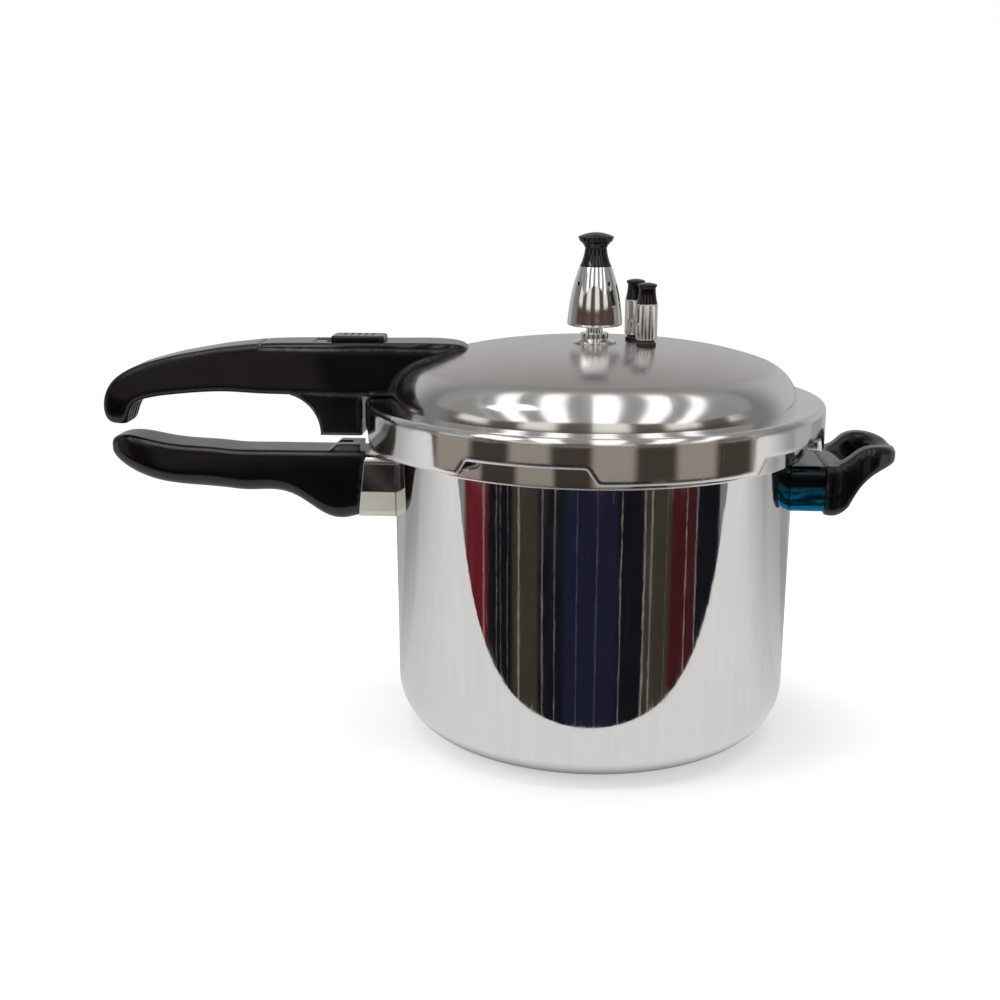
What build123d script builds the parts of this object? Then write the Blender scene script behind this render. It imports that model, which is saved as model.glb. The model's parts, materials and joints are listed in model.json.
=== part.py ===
from build123d import *
from math import atan2, cos, degrees, hypot, radians, sin, sqrt
import os

# A stovetop pressure cooker of drawn aluminium with an outer bayonet lid.
# Millimetres. The base stands on z = 0, the pot's axis is z, the long handles
# point along -x and the helper handle along +x.

# Pot
POT_RADIUS = 112.0
POT_DRAFT = 1.1
POT_HEIGHT = 177.6
POT_WALL = 2.5
POT_FLOOR = 4.0
POT_CORNER = 30.0
BAND_STEP = 6.2
BAND_HEIGHT = 14.0
BAND_RISE = 1.8

# Bayonet
LUG_COUNT = 5
LUG_PHASE = 2.6
POT_LUG_ANGLE = 30.0
POT_LUG_REACH = 6.4
POT_LUG_HEIGHT = 7.2
LUG_SIDE_GAP = 1.1
LUG_UNDER_GAP = 0.7
HOOK_BAND_GAP = 1.4
NOTCH_HEIGHT = 8.0
NOTCH_FOOT_ANGLE = 33.0
NOTCH_HEAD_ANGLE = 28.0

# Gasket
GASKET_HEIGHT = 10.0
GASKET_SIDE_GAP = 0.4
GASKET_LIP = 3.0
GASKET_GROOVE = 5.0
SEAT_GAP = 0.05

# Lid
LID_SHEET = 2.4
LEDGE_CORNER = 3.0
DOME_OUTSET = 1.0
DOME_HEIGHT = 30.4
CREASE_INSET = 16.0
CREASE_SHARE = 0.658
DOME_POWER = 3.2
SHOULDER_BULGE = 3.8

# Fits between pieces
PIECE_GAP = 0.2
HOLE_GAP = 0.1
SLIDE_GAP = 0.35
FIT_GAP = 0.05

# Long pot handle, from the wall outwards and down from the rim
SLEEVE_LENGTH = 18.3
SLEEVE_HALF_WIDTH = 15.0
SLEEVE_TOP = 20.6
SLEEVE_BOTTOM = 56.6
SLEEVE_CORNER = 5.0
SLEEVE_SHEET = 1.0
SLEEVE_SLANT = 6.3
GRIP_PROUD = 2.0
GRIP_TOP_ROUND = 3.0
GRIP_KEEL_ROUND = 9.0
KEEPER_START = 19.5
KEEPER_LENGTH = 16.5
KEEPER_RISE = 3.2
KEEPER_HALF_WIDTH = 11.0
KEEPER_DEPTH = 4.9
TONGUE_HALF_WIDTH = 8.0
TONGUE_HEIGHT = 14.0
TONGUE_REACH = 58.0
PLATE_SHEET = 2.5
BOLT_REACH = 38.0
BOLT_RADIUS = 2.5
BOLT_HEAD_RADIUS = 4.6
BOLT_HEAD = 3.6
BOLT_RECESS = 7.0
DRIVER_SLOT = 1.0
RIVET_RADIUS = 2.5
RIVET_HEAD_RADIUS = 4.6
RIVET_HEAD = 2.2
RIVET_TAIL = 1.2

# Helper handle, from the wall outwards and down from the rim
HELPER_SLEEVE_LENGTH = 15.0
HELPER_SLEEVE_HALF_WIDTH = 30.0
HELPER_SLEEVE_TOP = 20.6
HELPER_SLEEVE_BOTTOM = 45.8
HELPER_HALF_WIDTH = 31.5
HELPER_REACH = 57.0
HELPER_TOP = 19.8
HELPER_BOTTOM = 47.8
HELPER_CREST = 9.6
HELPER_BACK = 13.8
HELPER_BAR = 12.0
HELPER_ARM = 13.5
HELPER_ROUND = 2.6
HELPER_BAR_HEIGHT = 13.6
HELPER_BAR_ROUND = 3.6
HELPER_TONGUE_HALF_WIDTH = 13.0
HELPER_TONGUE_HEIGHT = 12.0
HELPER_TONGUE_REACH = 24.0
HELPER_RIVET_SIDE = 20.5
HELPER_BOLT_DROP = 33.8

# Lid handle, from the skirt outwards and up from the ledge
LID_GRIP_ROUND = 3.0
LID_GRIP_ROUND_SHARE = 0.42
HOOK_GROOVES = 4
HOOK_GROOVE_PITCH = 5.0
HOOK_GROOVE_WIDTH = 1.8
HOOK_GROOVE_REACH = 138.0
HOOK_GROOVE_TOP = 6.5
COVER_START = -60.0
COVER_END = 57.5
COVER_SHEET = 3.0
COVER_SEAM = 1.2
FOOT_START = 1.5
FOOT_LENGTH = 23.3
FOOT_DROP = 21.6
FOOT_HALF_WIDTH = 14.4
FOOT_CORNER = 2.5
FOOT_BROW = 17.0
FOOT_BROW_RISE = 1.0
FOOT_SCOOP = 5.6
FOOT_SCOOP_DROP = 6.0
LID_PLATE_SHEET = 2.2
LID_PLATE_HALF_WIDTH = 10.0
LID_TONGUE_REACH = 43.0
LID_RIVET_ANGLE = 3.4
LID_RIVET_RADIUS = 2.0
LID_RIVET_HEAD_RADIUS = 3.2
LID_RIVET_HEAD = 1.0
SCREW_RADIUS = 2.0
SCREW_HEAD_RADIUS = 3.6
SCREW_HEAD = 2.6
SCREW_WALL = 1.0
HANDLE_SCREW_REACH = 37.0
COVER_SCREW_REACH = 51.0

# Lock: a thumb slide with a sloping slot that drives a latch
LOCK_TRAVEL = 10.0
SLIDE_START = -11.0
SLIDE_LENGTH = 30.0
SLIDE_HALF_WIDTH = 9.0
SLIDE_RISE = 3.6
SLIDE_ROUND = 1.4
GROOVE_PITCH = 4.0
GROOVE_WIDTH = 1.2
GROOVE_DEPTH = 0.7
GROOVE_HALF_LENGTH = 5.6
TROUGH_DEPTH = 0.8
STEM_LENGTH = 16.0
STEM_HALF_WIDTH = 2.6
BAR_SHEET = 1.8
BAR_HALF_WIDTH = 6.2
RAIL_WIDTH = 2.2
CROSSBAR = 2.6
CAM_SHEET = 2.5
CAM_RIM = 1.5
CAM_FLOOR_GAP = 1.0
LATCH_REACH = 13.0
LATCH_LENGTH = 8.0
LATCH_SHEET = 4.0
LATCH_PIN_RADIUS = 1.5
LATCH_TUCK = 0.7
SPRING_RADIUS = 2.3
SPRING_WIRE = 0.6
SPRING_LENGTH = 18.0

# Float valve under the handle's nose
FLOAT_INSET = 25.0
FLOAT_RISE = 3.5
FLOAT_STEM_RADIUS = 2.4
FLOAT_HEAD_RADIUS = 3.1
FLOAT_HEAD = 0.8
FLOAT_FLANGE_RADIUS = 4.4
FLOAT_FLANGE = 1.6
FLOAT_SEAL = 1.5
BUSH_RADIUS = 4.4
BUSH_FLANGE_RADIUS = 6.4
BUSH_DROP = 6.0
NUT_HEIGHT = 2.8

# Vent and weight
VENT_BASE_RADIUS = 12.0
VENT_BASE = 2.4
VENT_FLANGE_RADIUS = 7.8
VENT_FLANGE = 3.0
VENT_RADIUS = 4.6
VENT_RISE = 17.0
VENT_BORE = 1.6
VENT_STUD_RADIUS = 4.0
VENT_DROP = 11.0
VENT_NUT_RADIUS = 8.0
VENT_NUT = 4.0
STRAINER_RADIUS = 8.0
STRAINER_HEIGHT = 9.0
STRAINER_SHEET = 1.0
STRAINER_SLOT = 1.6
STRAINER_SLOTS = 6
WEIGHT_STAND = 9.5
WEIGHT_RADIUS = 15.3
WEIGHT_SKIRT = 9.0
WEIGHT_SKIRT_DRAFT = 0.8
WEIGHT_BULGE = 0.8
WEIGHT_RIM_ROUND = 1.6
WEIGHT_HEIGHT = 32.5
WEIGHT_NECK_RADIUS = 8.8
WEIGHT_HOLES = 4
WEIGHT_HOLE_RADIUS = 1.2
WEIGHT_HOLE_TURN = -51.0
KNOB_WAIST_RADIUS = 6.0
KNOB_WAIST = 10.0
KNOB_RIM_RADIUS = 9.9
KNOB_HEIGHT = 18.5
KNOB_RIM = 2.4
KNOB_BAND = 2.4
KNOB_BAND_DRAFT = 0.9
KNOB_HOLLOW = 0.5
NEEDLE_RADIUS = 2.4

# Two spring-loaded relief valves
RELIEF_PLACES = [(28.4, -9.5), (22.8, 14.5)]
RELIEF_RADIUS = 5.85
RELIEF_NECK_RADIUS = 4.3
RELIEF_NECK = 2.0
RELIEF_HEIGHT = 19.0
RELIEF_BORE = 4.2
RELIEF_ROOF = 2.4
RELIEF_STUD_RADIUS = 3.6
RELIEF_DROP = 9.0
RELIEF_PORT = 1.8
RELIEF_NUT_RADIUS = 6.6
RELIEF_NUT = 3.6
RELIEF_SEAL_RADIUS = 5.4
RELIEF_SEAL = 1.4
PLUNGER_DISC = 2.2
PLUNGER_STEM_RADIUS = 1.5
CAP_HEIGHT = 11.4
CAP_FOOT_RADIUS = 5.7
CAP_WAIST_RADIUS = 4.5
CAP_LIP_RADIUS = 5.2
CAP_LIP = 3.0
CAP_HOLLOW = 0.35

# Levels and radii that follow from the sizes above
BAND_RADIUS = POT_RADIUS + BAND_STEP
BAND_Z = POT_HEIGHT - BAND_HEIGHT
GRIP_TOP_Z = POT_HEIGHT - SLEEVE_TOP + GRIP_PROUD
POT_LUG_RADIUS = BAND_RADIUS + POT_LUG_REACH
SKIRT_RADIUS = POT_LUG_RADIUS + LUG_SIDE_GAP + LID_SHEET
HOOK_RADIUS = BAND_RADIUS + HOOK_BAND_GAP
HOOK_TOP = POT_HEIGHT - POT_LUG_HEIGHT - LUG_UNDER_GAP
SKIRT_FOOT = HOOK_TOP - LID_SHEET
LEDGE_Z = POT_HEIGHT + GASKET_HEIGHT + 2 * SEAT_GAP + LID_SHEET
DOME_RADIUS = POT_RADIUS + DOME_OUTSET
DOME_TOP = LEDGE_Z + DOME_HEIGHT
CREASE_RADIUS = DOME_RADIUS - CREASE_INSET
CREASE_Z = LEDGE_Z + CREASE_SHARE * DOME_HEIGHT
LUG_PITCH = 360 / LUG_COUNT
LUG_ANGLES = [180 + LUG_PHASE + LUG_PITCH * (i + 0.5) for i in range(LUG_COUNT)]
NOTCH_ANGLES = [180 + LUG_PHASE + LUG_PITCH * i for i in range(LUG_COUNT)]
BASE_ALIGN = (Align.CENTER, Align.CENTER, Align.MIN)


def wall_radius(z):
    # The pot's outer wall leans out evenly from the base corner to the band
    share = (z - POT_CORNER) / (BAND_Z - BAND_RISE - POT_CORNER)
    return POT_RADIUS - POT_DRAFT * (1 - share)


def dome_z(r):
    # Height of the dome's outer skin inside the crease
    return DOME_TOP - (DOME_TOP - CREASE_Z) * (r / CREASE_RADIUS) ** DOME_POWER


def turned(*edges):
    # A solid of revolution about z from edges drawn as (radius, height)
    outline = Curve() + list(edges)
    return revolve(Plane.XZ * make_face(outline), Axis.Z)


def turned_points(*points):
    return turned(Polyline(*points, close=True))


def crown(edge, high):
    # A shallow dome from an edge point up to the axis
    radius, sag = edge[0], high - edge[1]
    ball = (radius**2 + sag**2) / (2 * sag)
    half = (radius / 2, high - ball + sqrt(ball**2 - radius**2 / 4))
    return ThreePointArc(edge, half, (0, high))


def tube(outer, inner, low, high):
    return turned_points((inner, low), (outer, low), (outer, high), (inner, high))


def rod(radius, low, high):
    return Pos(0, 0, low) * Cylinder(radius, high - low, align=BASE_ALIGN)


def hexagon(radius, low, high):
    return Pos(0, 0, low) * extrude(RegularPolygon(radius, 6), high - low)


def sector(inner, outer, low, high, middle, width):
    # A piece of a ring, with its middle and width as angles about z
    outline = Polyline((inner, low), (outer, low), (outer, high), (inner, high), close=True)
    ring = revolve(Plane.XZ * make_face(outline), Axis.Z, revolution_arc=width)
    return Rot(0, 0, middle - width / 2) * ring


def block(x0, x1, y0, y1, z0, z1):
    low_x, high_x = min(x0, x1), max(x0, x1)
    middle = ((low_x + high_x) / 2, (y0 + y1) / 2, (z0 + z1) / 2)
    return Pos(*middle) * Box(high_x - low_x, y1 - y0, z1 - z0)


def section(x, half_width, top, bottom, top_round, bottom_round):
    # A handle's cross-section on the plane at x, with soft upper and lower corners
    face = Pos(0, (top + bottom) / 2) * Rectangle(2 * half_width, top - bottom)
    face = fillet(face.vertices().group_by(Axis.Y)[-1], top_round)
    face = fillet(face.vertices().group_by(Axis.Y)[0], bottom_round)
    return Plane(origin=(x, 0, 0), x_dir=(0, 1, 0), z_dir=(1, 0, 0)) * face


def joined(shapes):
    return Part() + list(shapes)


def pot_body(outset=0.0):
    # Everything inside the pot's outer skin
    low_radius = POT_RADIUS - POT_DRAFT + outset
    corner = POT_CORNER + outset
    bend = corner * (1 - sin(radians(45)))
    start = (low_radius - corner, -outset)
    end = (low_radius, POT_CORNER)
    return turned(
        Line((0, -outset), start),
        ThreePointArc(start, (low_radius - bend, bend - outset), end),
        Polyline(
            end,
            (POT_RADIUS + outset, BAND_Z - BAND_RISE),
            (BAND_RADIUS + outset, BAND_Z),
            (BAND_RADIUS + outset, POT_HEIGHT),
            (0, POT_HEIGHT),
            (0, -outset),
        ),
    )


def pot_hollow():
    low_radius = POT_RADIUS - POT_DRAFT - POT_WALL
    corner = POT_CORNER - POT_WALL
    bend = corner * (1 - sin(radians(45)))
    start = (low_radius - corner, POT_FLOOR)
    end = (low_radius, POT_FLOOR + corner)
    return turned(
        Line((0, POT_FLOOR), start),
        ThreePointArc(start, (low_radius - bend, POT_FLOOR + bend), end),
        Polyline(
            end,
            (POT_RADIUS - POT_WALL, BAND_Z - BAND_RISE + POT_WALL / 2),
            (BAND_RADIUS - POT_WALL, BAND_Z + POT_WALL / 2),
            (BAND_RADIUS - POT_WALL, POT_HEIGHT + POT_WALL),
            (0, POT_HEIGHT + POT_WALL),
            (0, POT_FLOOR),
        ),
    )


def pot_rivet_places():
    middle = POT_HEIGHT - (SLEEVE_TOP + SLEEVE_BOTTOM) / 2
    reach = TONGUE_HEIGHT / 2 + RIVET_HEAD_RADIUS
    return [(180, middle - reach), (180, middle + reach)]


def helper_rivet_places():
    middle = POT_HEIGHT - HELPER_BOLT_DROP
    angle = degrees(HELPER_RIVET_SIDE / POT_RADIUS)
    return [(-angle, middle), (angle, middle)]


def radial(angle, z, radius, start, end):
    # A rod that points away from the pot's axis
    return Rot(0, 0, angle) * (Pos(start, 0, z) * (Rot(0, 90, 0) * rod(radius, 0, end - start)))


def pot_shell():
    shell = pot_body()
    low = POT_HEIGHT - POT_LUG_HEIGHT
    for angle in LUG_ANGLES:
        shell += sector(BAND_RADIUS - POT_WALL, POT_LUG_RADIUS, low, POT_HEIGHT, angle, POT_LUG_ANGLE)
    shell -= pot_hollow()
    for angle, z in pot_rivet_places() + helper_rivet_places():
        shell -= radial(angle, z, RIVET_RADIUS + HOLE_GAP, POT_RADIUS / 2, POT_RADIUS + POT_WALL)
    return shell


def rivets(places):
    # Domed heads inside the pot, flat tails on the bracket's plate
    pieces = []
    for angle, z in places:
        wall = wall_radius(z)
        inside = wall - POT_WALL - PIECE_GAP
        outside = wall + FIT_GAP + PLATE_SHEET + HOLE_GAP
        rivet = radial(angle, z, RIVET_RADIUS, inside - RIVET_HEAD / 2, outside + RIVET_TAIL)
        rivet += radial(angle, z, RIVET_HEAD_RADIUS, outside, outside + RIVET_TAIL)
        edge = (RIVET_HEAD_RADIUS, 0)
        cap = turned(crown(edge, RIVET_HEAD), Polyline((0, RIVET_HEAD), (0, 0), edge))
        rivet += Rot(0, 0, angle) * (Pos(inside, 0, z) * (Rot(0, -90, 0) * cap))
        pieces.append(rivet)
    return joined(pieces)


def wall_plate(low, high, half_width, middle):
    # A plate bent to the pot's wall
    inner, outer = wall_radius(low) + FIT_GAP, wall_radius(high) + FIT_GAP
    outside = [(inner + PLATE_SHEET, low), (outer + PLATE_SHEET, high)]
    face = make_face(Polyline((inner, low), *outside, (outer, high), close=True))
    angle = degrees(2 * half_width / POT_RADIUS)
    return Rot(0, 0, middle - angle / 2) * revolve(Plane.XZ * face, Axis.Z, revolution_arc=angle)


def sleeve_seam():
    # The slanting plane where the sleeve ends and the grip starts
    middle = POT_HEIGHT - (SLEEVE_TOP + SLEEVE_BOTTOM) / 2
    tilt = radians(SLEEVE_SLANT)
    origin = (-POT_RADIUS - SLEEVE_LENGTH, 0, middle)
    return Plane(origin=origin, z_dir=(-cos(tilt), 0, sin(tilt)), x_dir=(0, 1, 0))


def box_tube(x0, x1, half_width, low, high, corner, sheet):
    outer = section(x0, half_width, high, low, corner, corner)
    inner = section(x0, half_width - sheet, high - sheet, low + sheet, corner - sheet, corner - sheet)
    return extrude(outer - inner, x1 - x0, dir=(1, 0, 0))


def pot_handle_sleeve():
    low, high = POT_HEIGHT - SLEEVE_BOTTOM, POT_HEIGHT - SLEEVE_TOP
    far = -POT_RADIUS - 1.5 * SLEEVE_LENGTH
    near = -POT_RADIUS + SLEEVE_LENGTH
    sleeve = box_tube(far, near, SLEEVE_HALF_WIDTH, low, high, SLEEVE_CORNER, SLEEVE_SHEET)
    sleeve -= pot_body(PIECE_GAP)
    return split(sleeve, bisect_by=sleeve_seam(), keep=Keep.BOTTOM)


def pot_tongue(gap=0.0):
    middle = POT_HEIGHT - (SLEEVE_TOP + SLEEVE_BOTTOM) / 2
    half = TONGUE_HEIGHT / 2 + gap
    wide = TONGUE_HALF_WIDTH + gap
    near = -POT_RADIUS - PLATE_SHEET / 2
    return block(-POT_RADIUS - TONGUE_REACH - gap, near, -wide, wide, middle - half, middle + half)


def pot_handle_bracket():
    low = POT_HEIGHT - SLEEVE_BOTTOM + SLEEVE_SHEET + PIECE_GAP
    high = POT_HEIGHT - SLEEVE_TOP - SLEEVE_SHEET - PIECE_GAP
    half_width = SLEEVE_HALF_WIDTH - SLEEVE_SHEET - SLEEVE_CORNER
    bracket = wall_plate(low, high, half_width, 180) + (pot_tongue() - pot_body(FIT_GAP))
    bracket -= Pos(-POT_RADIUS - BOLT_REACH, 0, 0) * rod(BOLT_RADIUS + FIT_GAP, 0, POT_HEIGHT)
    for angle, z in pot_rivet_places():
        bracket -= radial(angle, z, RIVET_RADIUS + HOLE_GAP, POT_RADIUS / 2, POT_RADIUS + 2 * PLATE_SHEET)
    return bracket


def pot_grip_form():
    # Stations: distance from the wall, share of the half width, rise of the top above its level
    # at the sleeve, and depth of the underside as a share of the sleeve's height
    stations = [
        (12.0, 1.00, 0.0, 1.083),
        (34.0, 1.00, 0.0, 1.106),
        (46.0, 1.00, 0.0, 0.956),
        (58.0, 1.00, 0.0, 0.747),
        (71.0, 1.00, 0.0, 0.667),
        (93.0, 1.00, 0.2, 0.661),
        (118.0, 1.00, 2.0, 0.606),
        (140.0, 0.96, 5.0, 0.517),
        (153.0, 0.83, 7.0, 0.378),
        (160.0, 0.63, 6.0, 0.244),
        (163.6, 0.40, 3.6, 0.133),
    ]
    faces = []
    for reach, wide_share, rise, depth_share in stations:
        half_width = wide_share * SLEEVE_HALF_WIDTH
        top = GRIP_TOP_Z + rise
        bottom = GRIP_TOP_Z - depth_share * (SLEEVE_BOTTOM - SLEEVE_TOP)
        keel = min(GRIP_KEEL_ROUND, 0.45 * (top - bottom), 0.8 * half_width)
        shoulder = min(GRIP_TOP_ROUND, 0.45 * half_width)
        faces.append(section(-POT_RADIUS - reach, half_width, top, bottom, shoulder, keel))
    return loft(faces)


def pot_grip_foot():
    # Level of the grip's underside at its bolt
    return POT_HEIGHT - SLEEVE_BOTTOM - GRIP_TOP_ROUND


def keeper():
    # A raised pad with a pocket that the latch drops into
    start = -POT_RADIUS - KEEPER_START
    end = start - KEEPER_LENGTH
    floor = POT_HEIGHT - SLEEVE_TOP
    top = GRIP_TOP_Z + KEEPER_RISE
    ramp = [(end + KEEPER_RISE, top), (end - KEEPER_RISE, floor)]
    side = make_face(Polyline((start, floor), (start, top), *ramp, close=True))
    return extrude(Plane.XZ * side, KEEPER_HALF_WIDTH, both=True)


def keeper_pocket():
    top = GRIP_TOP_Z + KEEPER_RISE
    x = -SKIRT_RADIUS - LATCH_REACH
    half, wide = LATCH_LENGTH / 2 + SLIDE_GAP, LATCH_SHEET / 2 + SLIDE_GAP
    return block(x - half, x + half, -wide, wide, top - KEEPER_DEPTH, top + KEEPER_RISE)


def pot_handle_bolt():
    x = -POT_RADIUS - BOLT_REACH
    head = pot_grip_foot() + BOLT_RECESS
    tip = POT_HEIGHT - (SLEEVE_TOP + SLEEVE_BOTTOM) / 2 + TONGUE_HEIGHT / 2
    bolt = rod(BOLT_RADIUS, head - FIT_GAP, tip) + rod(BOLT_HEAD_RADIUS, head - BOLT_HEAD, head - FIT_GAP)
    bolt -= hexagon(BOLT_RADIUS, head - BOLT_HEAD, head - BOLT_HEAD / 2)
    return Pos(x, 0, 0) * bolt


def pot_handle_grip():
    grip = split(pot_grip_form() + keeper(), bisect_by=sleeve_seam(), keep=Keep.TOP)
    grip -= pot_tongue(PIECE_GAP)
    grip -= keeper_pocket()
    head = pot_grip_foot() + BOLT_RECESS
    tip = POT_HEIGHT - (SLEEVE_TOP + SLEEVE_BOTTOM) / 2 + TONGUE_HEIGHT / 2 + PIECE_GAP
    hole = rod(BOLT_RADIUS + HOLE_GAP, 0, tip) + rod(BOLT_HEAD_RADIUS + PIECE_GAP, 0, head)
    return grip - Pos(-POT_RADIUS - BOLT_REACH, 0, 0) * hole


def helper_sleeve():
    low, high = POT_HEIGHT - HELPER_SLEEVE_BOTTOM, POT_HEIGHT - HELPER_SLEEVE_TOP
    near = POT_RADIUS - HELPER_SLEEVE_LENGTH
    far = POT_RADIUS + HELPER_SLEEVE_LENGTH
    sleeve = box_tube(near, far, HELPER_SLEEVE_HALF_WIDTH, low, high, SLEEVE_CORNER, SLEEVE_SHEET)
    return sleeve - pot_body(PIECE_GAP)


def helper_tongue(gap=0.0):
    middle = POT_HEIGHT - HELPER_BOLT_DROP
    half, wide = HELPER_TONGUE_HEIGHT / 2 + gap, HELPER_TONGUE_HALF_WIDTH + gap
    near = POT_RADIUS + PLATE_SHEET / 2
    return block(near, POT_RADIUS + HELPER_TONGUE_REACH + gap, -wide, wide, middle - half, middle + half)


def helper_bolt_hole(gap, start, end):
    bore = rod(BOLT_RADIUS + gap, 0, end - start)
    return Pos(start, 0, POT_HEIGHT - HELPER_BOLT_DROP) * (Rot(0, 90, 0) * bore)


def helper_bracket():
    low = POT_HEIGHT - HELPER_SLEEVE_BOTTOM + SLEEVE_SHEET + PIECE_GAP
    high = POT_HEIGHT - HELPER_SLEEVE_TOP - SLEEVE_SHEET - PIECE_GAP
    half_width = HELPER_SLEEVE_HALF_WIDTH - SLEEVE_SHEET - SLEEVE_CORNER
    bracket = wall_plate(low, high, half_width, 0) + (helper_tongue() - pot_body(FIT_GAP))
    bracket -= helper_bolt_hole(FIT_GAP, POT_RADIUS + 2 * PLATE_SHEET, POT_RADIUS + HELPER_REACH)
    for angle, z in helper_rivet_places():
        bracket -= radial(angle, z, RIVET_RADIUS + HOLE_GAP, POT_RADIUS / 2, POT_RADIUS + 2 * PLATE_SHEET)
    return bracket


def helper_base():
    # The block against the sleeve, with its lower edge drawn in towards the front
    near = POT_RADIUS + HELPER_SLEEVE_LENGTH + PIECE_GAP
    top, low = POT_HEIGHT - HELPER_TOP, POT_HEIGHT - HELPER_BOTTOM
    # Stations: distance from the sleeve, half width, lift of the underside
    stations = [
        (0.0, HELPER_HALF_WIDTH, 0.6),
        (0.35 * HELPER_BACK, HELPER_HALF_WIDTH, 0.0),
        (HELPER_BACK, HELPER_HALF_WIDTH - HELPER_ROUND, 0.36 * HELPER_BACK),
    ]
    faces = []
    for x, half, lift in stations:
        faces.append(section(near + x, half, top, low + lift, HELPER_ROUND, 2 * HELPER_ROUND))
    return loft(faces)


def helper_arm():
    # Half of the loop, from the base round to the middle of its outer bar
    start = POT_RADIUS + HELPER_SLEEVE_LENGTH + PIECE_GAP + HELPER_BACK / 2
    end = POT_RADIUS + HELPER_REACH - HELPER_BAR / 2
    side = HELPER_HALF_WIDTH - HELPER_ARM / 2
    run = end - start
    top, low = POT_HEIGHT - HELPER_TOP, POT_HEIGHT - HELPER_BOTTOM
    rise, lift = HELPER_TOP - HELPER_CREST, HELPER_BOTTOM - HELPER_CREST - HELPER_BAR_HEIGHT
    # Stations: share of the run, of the half width, turn, width, share of the rise and of the lift
    stations = [
        (0.00, 0.98, 0, HELPER_ARM + 1.5, 0.10, 0.08),
        (0.27, 1.00, 0, HELPER_ARM, 0.60, 0.38),
        (0.52, 0.97, 12, HELPER_ARM - 0.6, 0.97, 0.84),
        (0.76, 0.80, 38, HELPER_BAR, 0.99, 1.02),
        (0.94, 0.42, 68, HELPER_BAR, 0.80, 1.08),
        (1.00, 0.00, 90, HELPER_BAR, 0.66, 1.10),
    ]
    faces = []
    for along, across, turn, width, up, under in stations:
        high, bottom = top + up * rise, low + under * lift
        soft = min(HELPER_BAR_ROUND, 0.45 * (high - bottom))
        face = Pos(0, (high + bottom) / 2) * RectangleRounded(width, high - bottom, soft)
        way = radians(turn)
        plane = Plane(
            origin=(start + along * run, across * side, 0),
            x_dir=(sin(way), cos(way), 0),
            z_dir=(cos(way), -sin(way), 0),
        )
        faces.append(plane * face)
    return loft(faces)


def helper_grip():
    arm = helper_arm()
    grip = helper_base() + arm + mirror(arm, about=Plane.XZ)
    near = POT_RADIUS + HELPER_SLEEVE_LENGTH + PIECE_GAP
    grip -= helper_tongue(PIECE_GAP)
    seat = near + HELPER_BACK - BOLT_HEAD - PIECE_GAP
    reach = near + HELPER_BACK + HELPER_ROUND
    grip -= helper_bolt_hole(HOLE_GAP, near, reach)
    return grip - helper_bolt_hole(BOLT_HEAD_RADIUS - BOLT_RADIUS + PIECE_GAP, seat, reach)


def helper_bolt():
    near = POT_RADIUS + HELPER_SLEEVE_LENGTH + PIECE_GAP
    seat = near + HELPER_BACK - BOLT_HEAD - PIECE_GAP + FIT_GAP
    start = POT_RADIUS + 2.5 * PLATE_SHEET
    bolt = helper_bolt_hole(0, start, seat)
    bolt += helper_bolt_hole(BOLT_HEAD_RADIUS - BOLT_RADIUS, seat, seat + BOLT_HEAD)
    half = DRIVER_SLOT / 2
    slot = block(seat + BOLT_HEAD / 2, seat + BOLT_HEAD, -BOLT_HEAD_RADIUS, BOLT_HEAD_RADIUS, -half, half)
    return bolt - Pos(0, 0, POT_HEIGHT - HELPER_BOLT_DROP) * slot


def gasket():
    # A ring with a groove that opens inwards, so that pressure spreads its lips
    low = POT_HEIGHT + SEAT_GAP
    high = low + GASKET_HEIGHT
    inner = DOME_RADIUS + GASKET_SIDE_GAP
    outer = SKIRT_RADIUS - LID_SHEET - GASKET_SIDE_GAP
    root = inner + GASKET_GROOVE
    return turned_points(
        (inner, low), (outer, low), (outer, high), (inner, high),
        (inner, high - GASKET_LIP), (root, high - GASKET_LIP),
        (root, low + GASKET_LIP), (inner, low + GASKET_LIP),
    )


def dome_body(drop, inset):
    # Everything under the dome's skin, lowered and drawn in by the sheet for the inside
    crease = (CREASE_RADIUS - inset / 2, CREASE_Z - drop)
    foot = (DOME_RADIUS - inset, LEDGE_Z - LID_SHEET)
    share = [0, 0.3, 0.55, 0.78, 1]
    top = [(s * crease[0], dome_z(s * CREASE_RADIUS) - drop) for s in share]
    run, fall = foot[0] - crease[0], crease[1] - LEDGE_Z
    length = sqrt(run**2 + fall**2)
    bulge = (
        (crease[0] + foot[0]) / 2 + SHOULDER_BULGE * fall / length,
        (crease[1] + LEDGE_Z) / 2 + SHOULDER_BULGE * run / length,
    )
    knee = (foot[0], LEDGE_Z)
    return turned(
        Spline(*top),
        ThreePointArc(crease, bulge, knee),
        Polyline(knee, foot, (0, foot[1]), (0, DOME_TOP - drop)),
    )


def lid_body():
    # Everything inside the lid's outer skin
    foot = SKIRT_FOOT
    corner = (SKIRT_RADIUS - LEDGE_CORNER, LEDGE_Z)
    side = (SKIRT_RADIUS, LEDGE_Z - LEDGE_CORNER)
    bend = LEDGE_CORNER * (1 - sin(radians(45)))
    brim = turned(
        Line((0, LEDGE_Z), corner),
        ThreePointArc(corner, (SKIRT_RADIUS - bend, LEDGE_Z - bend), side),
        Polyline(side, (SKIRT_RADIUS, foot), (0, foot), (0, LEDGE_Z)),
    )
    return brim + dome_body(0, 0)


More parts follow.
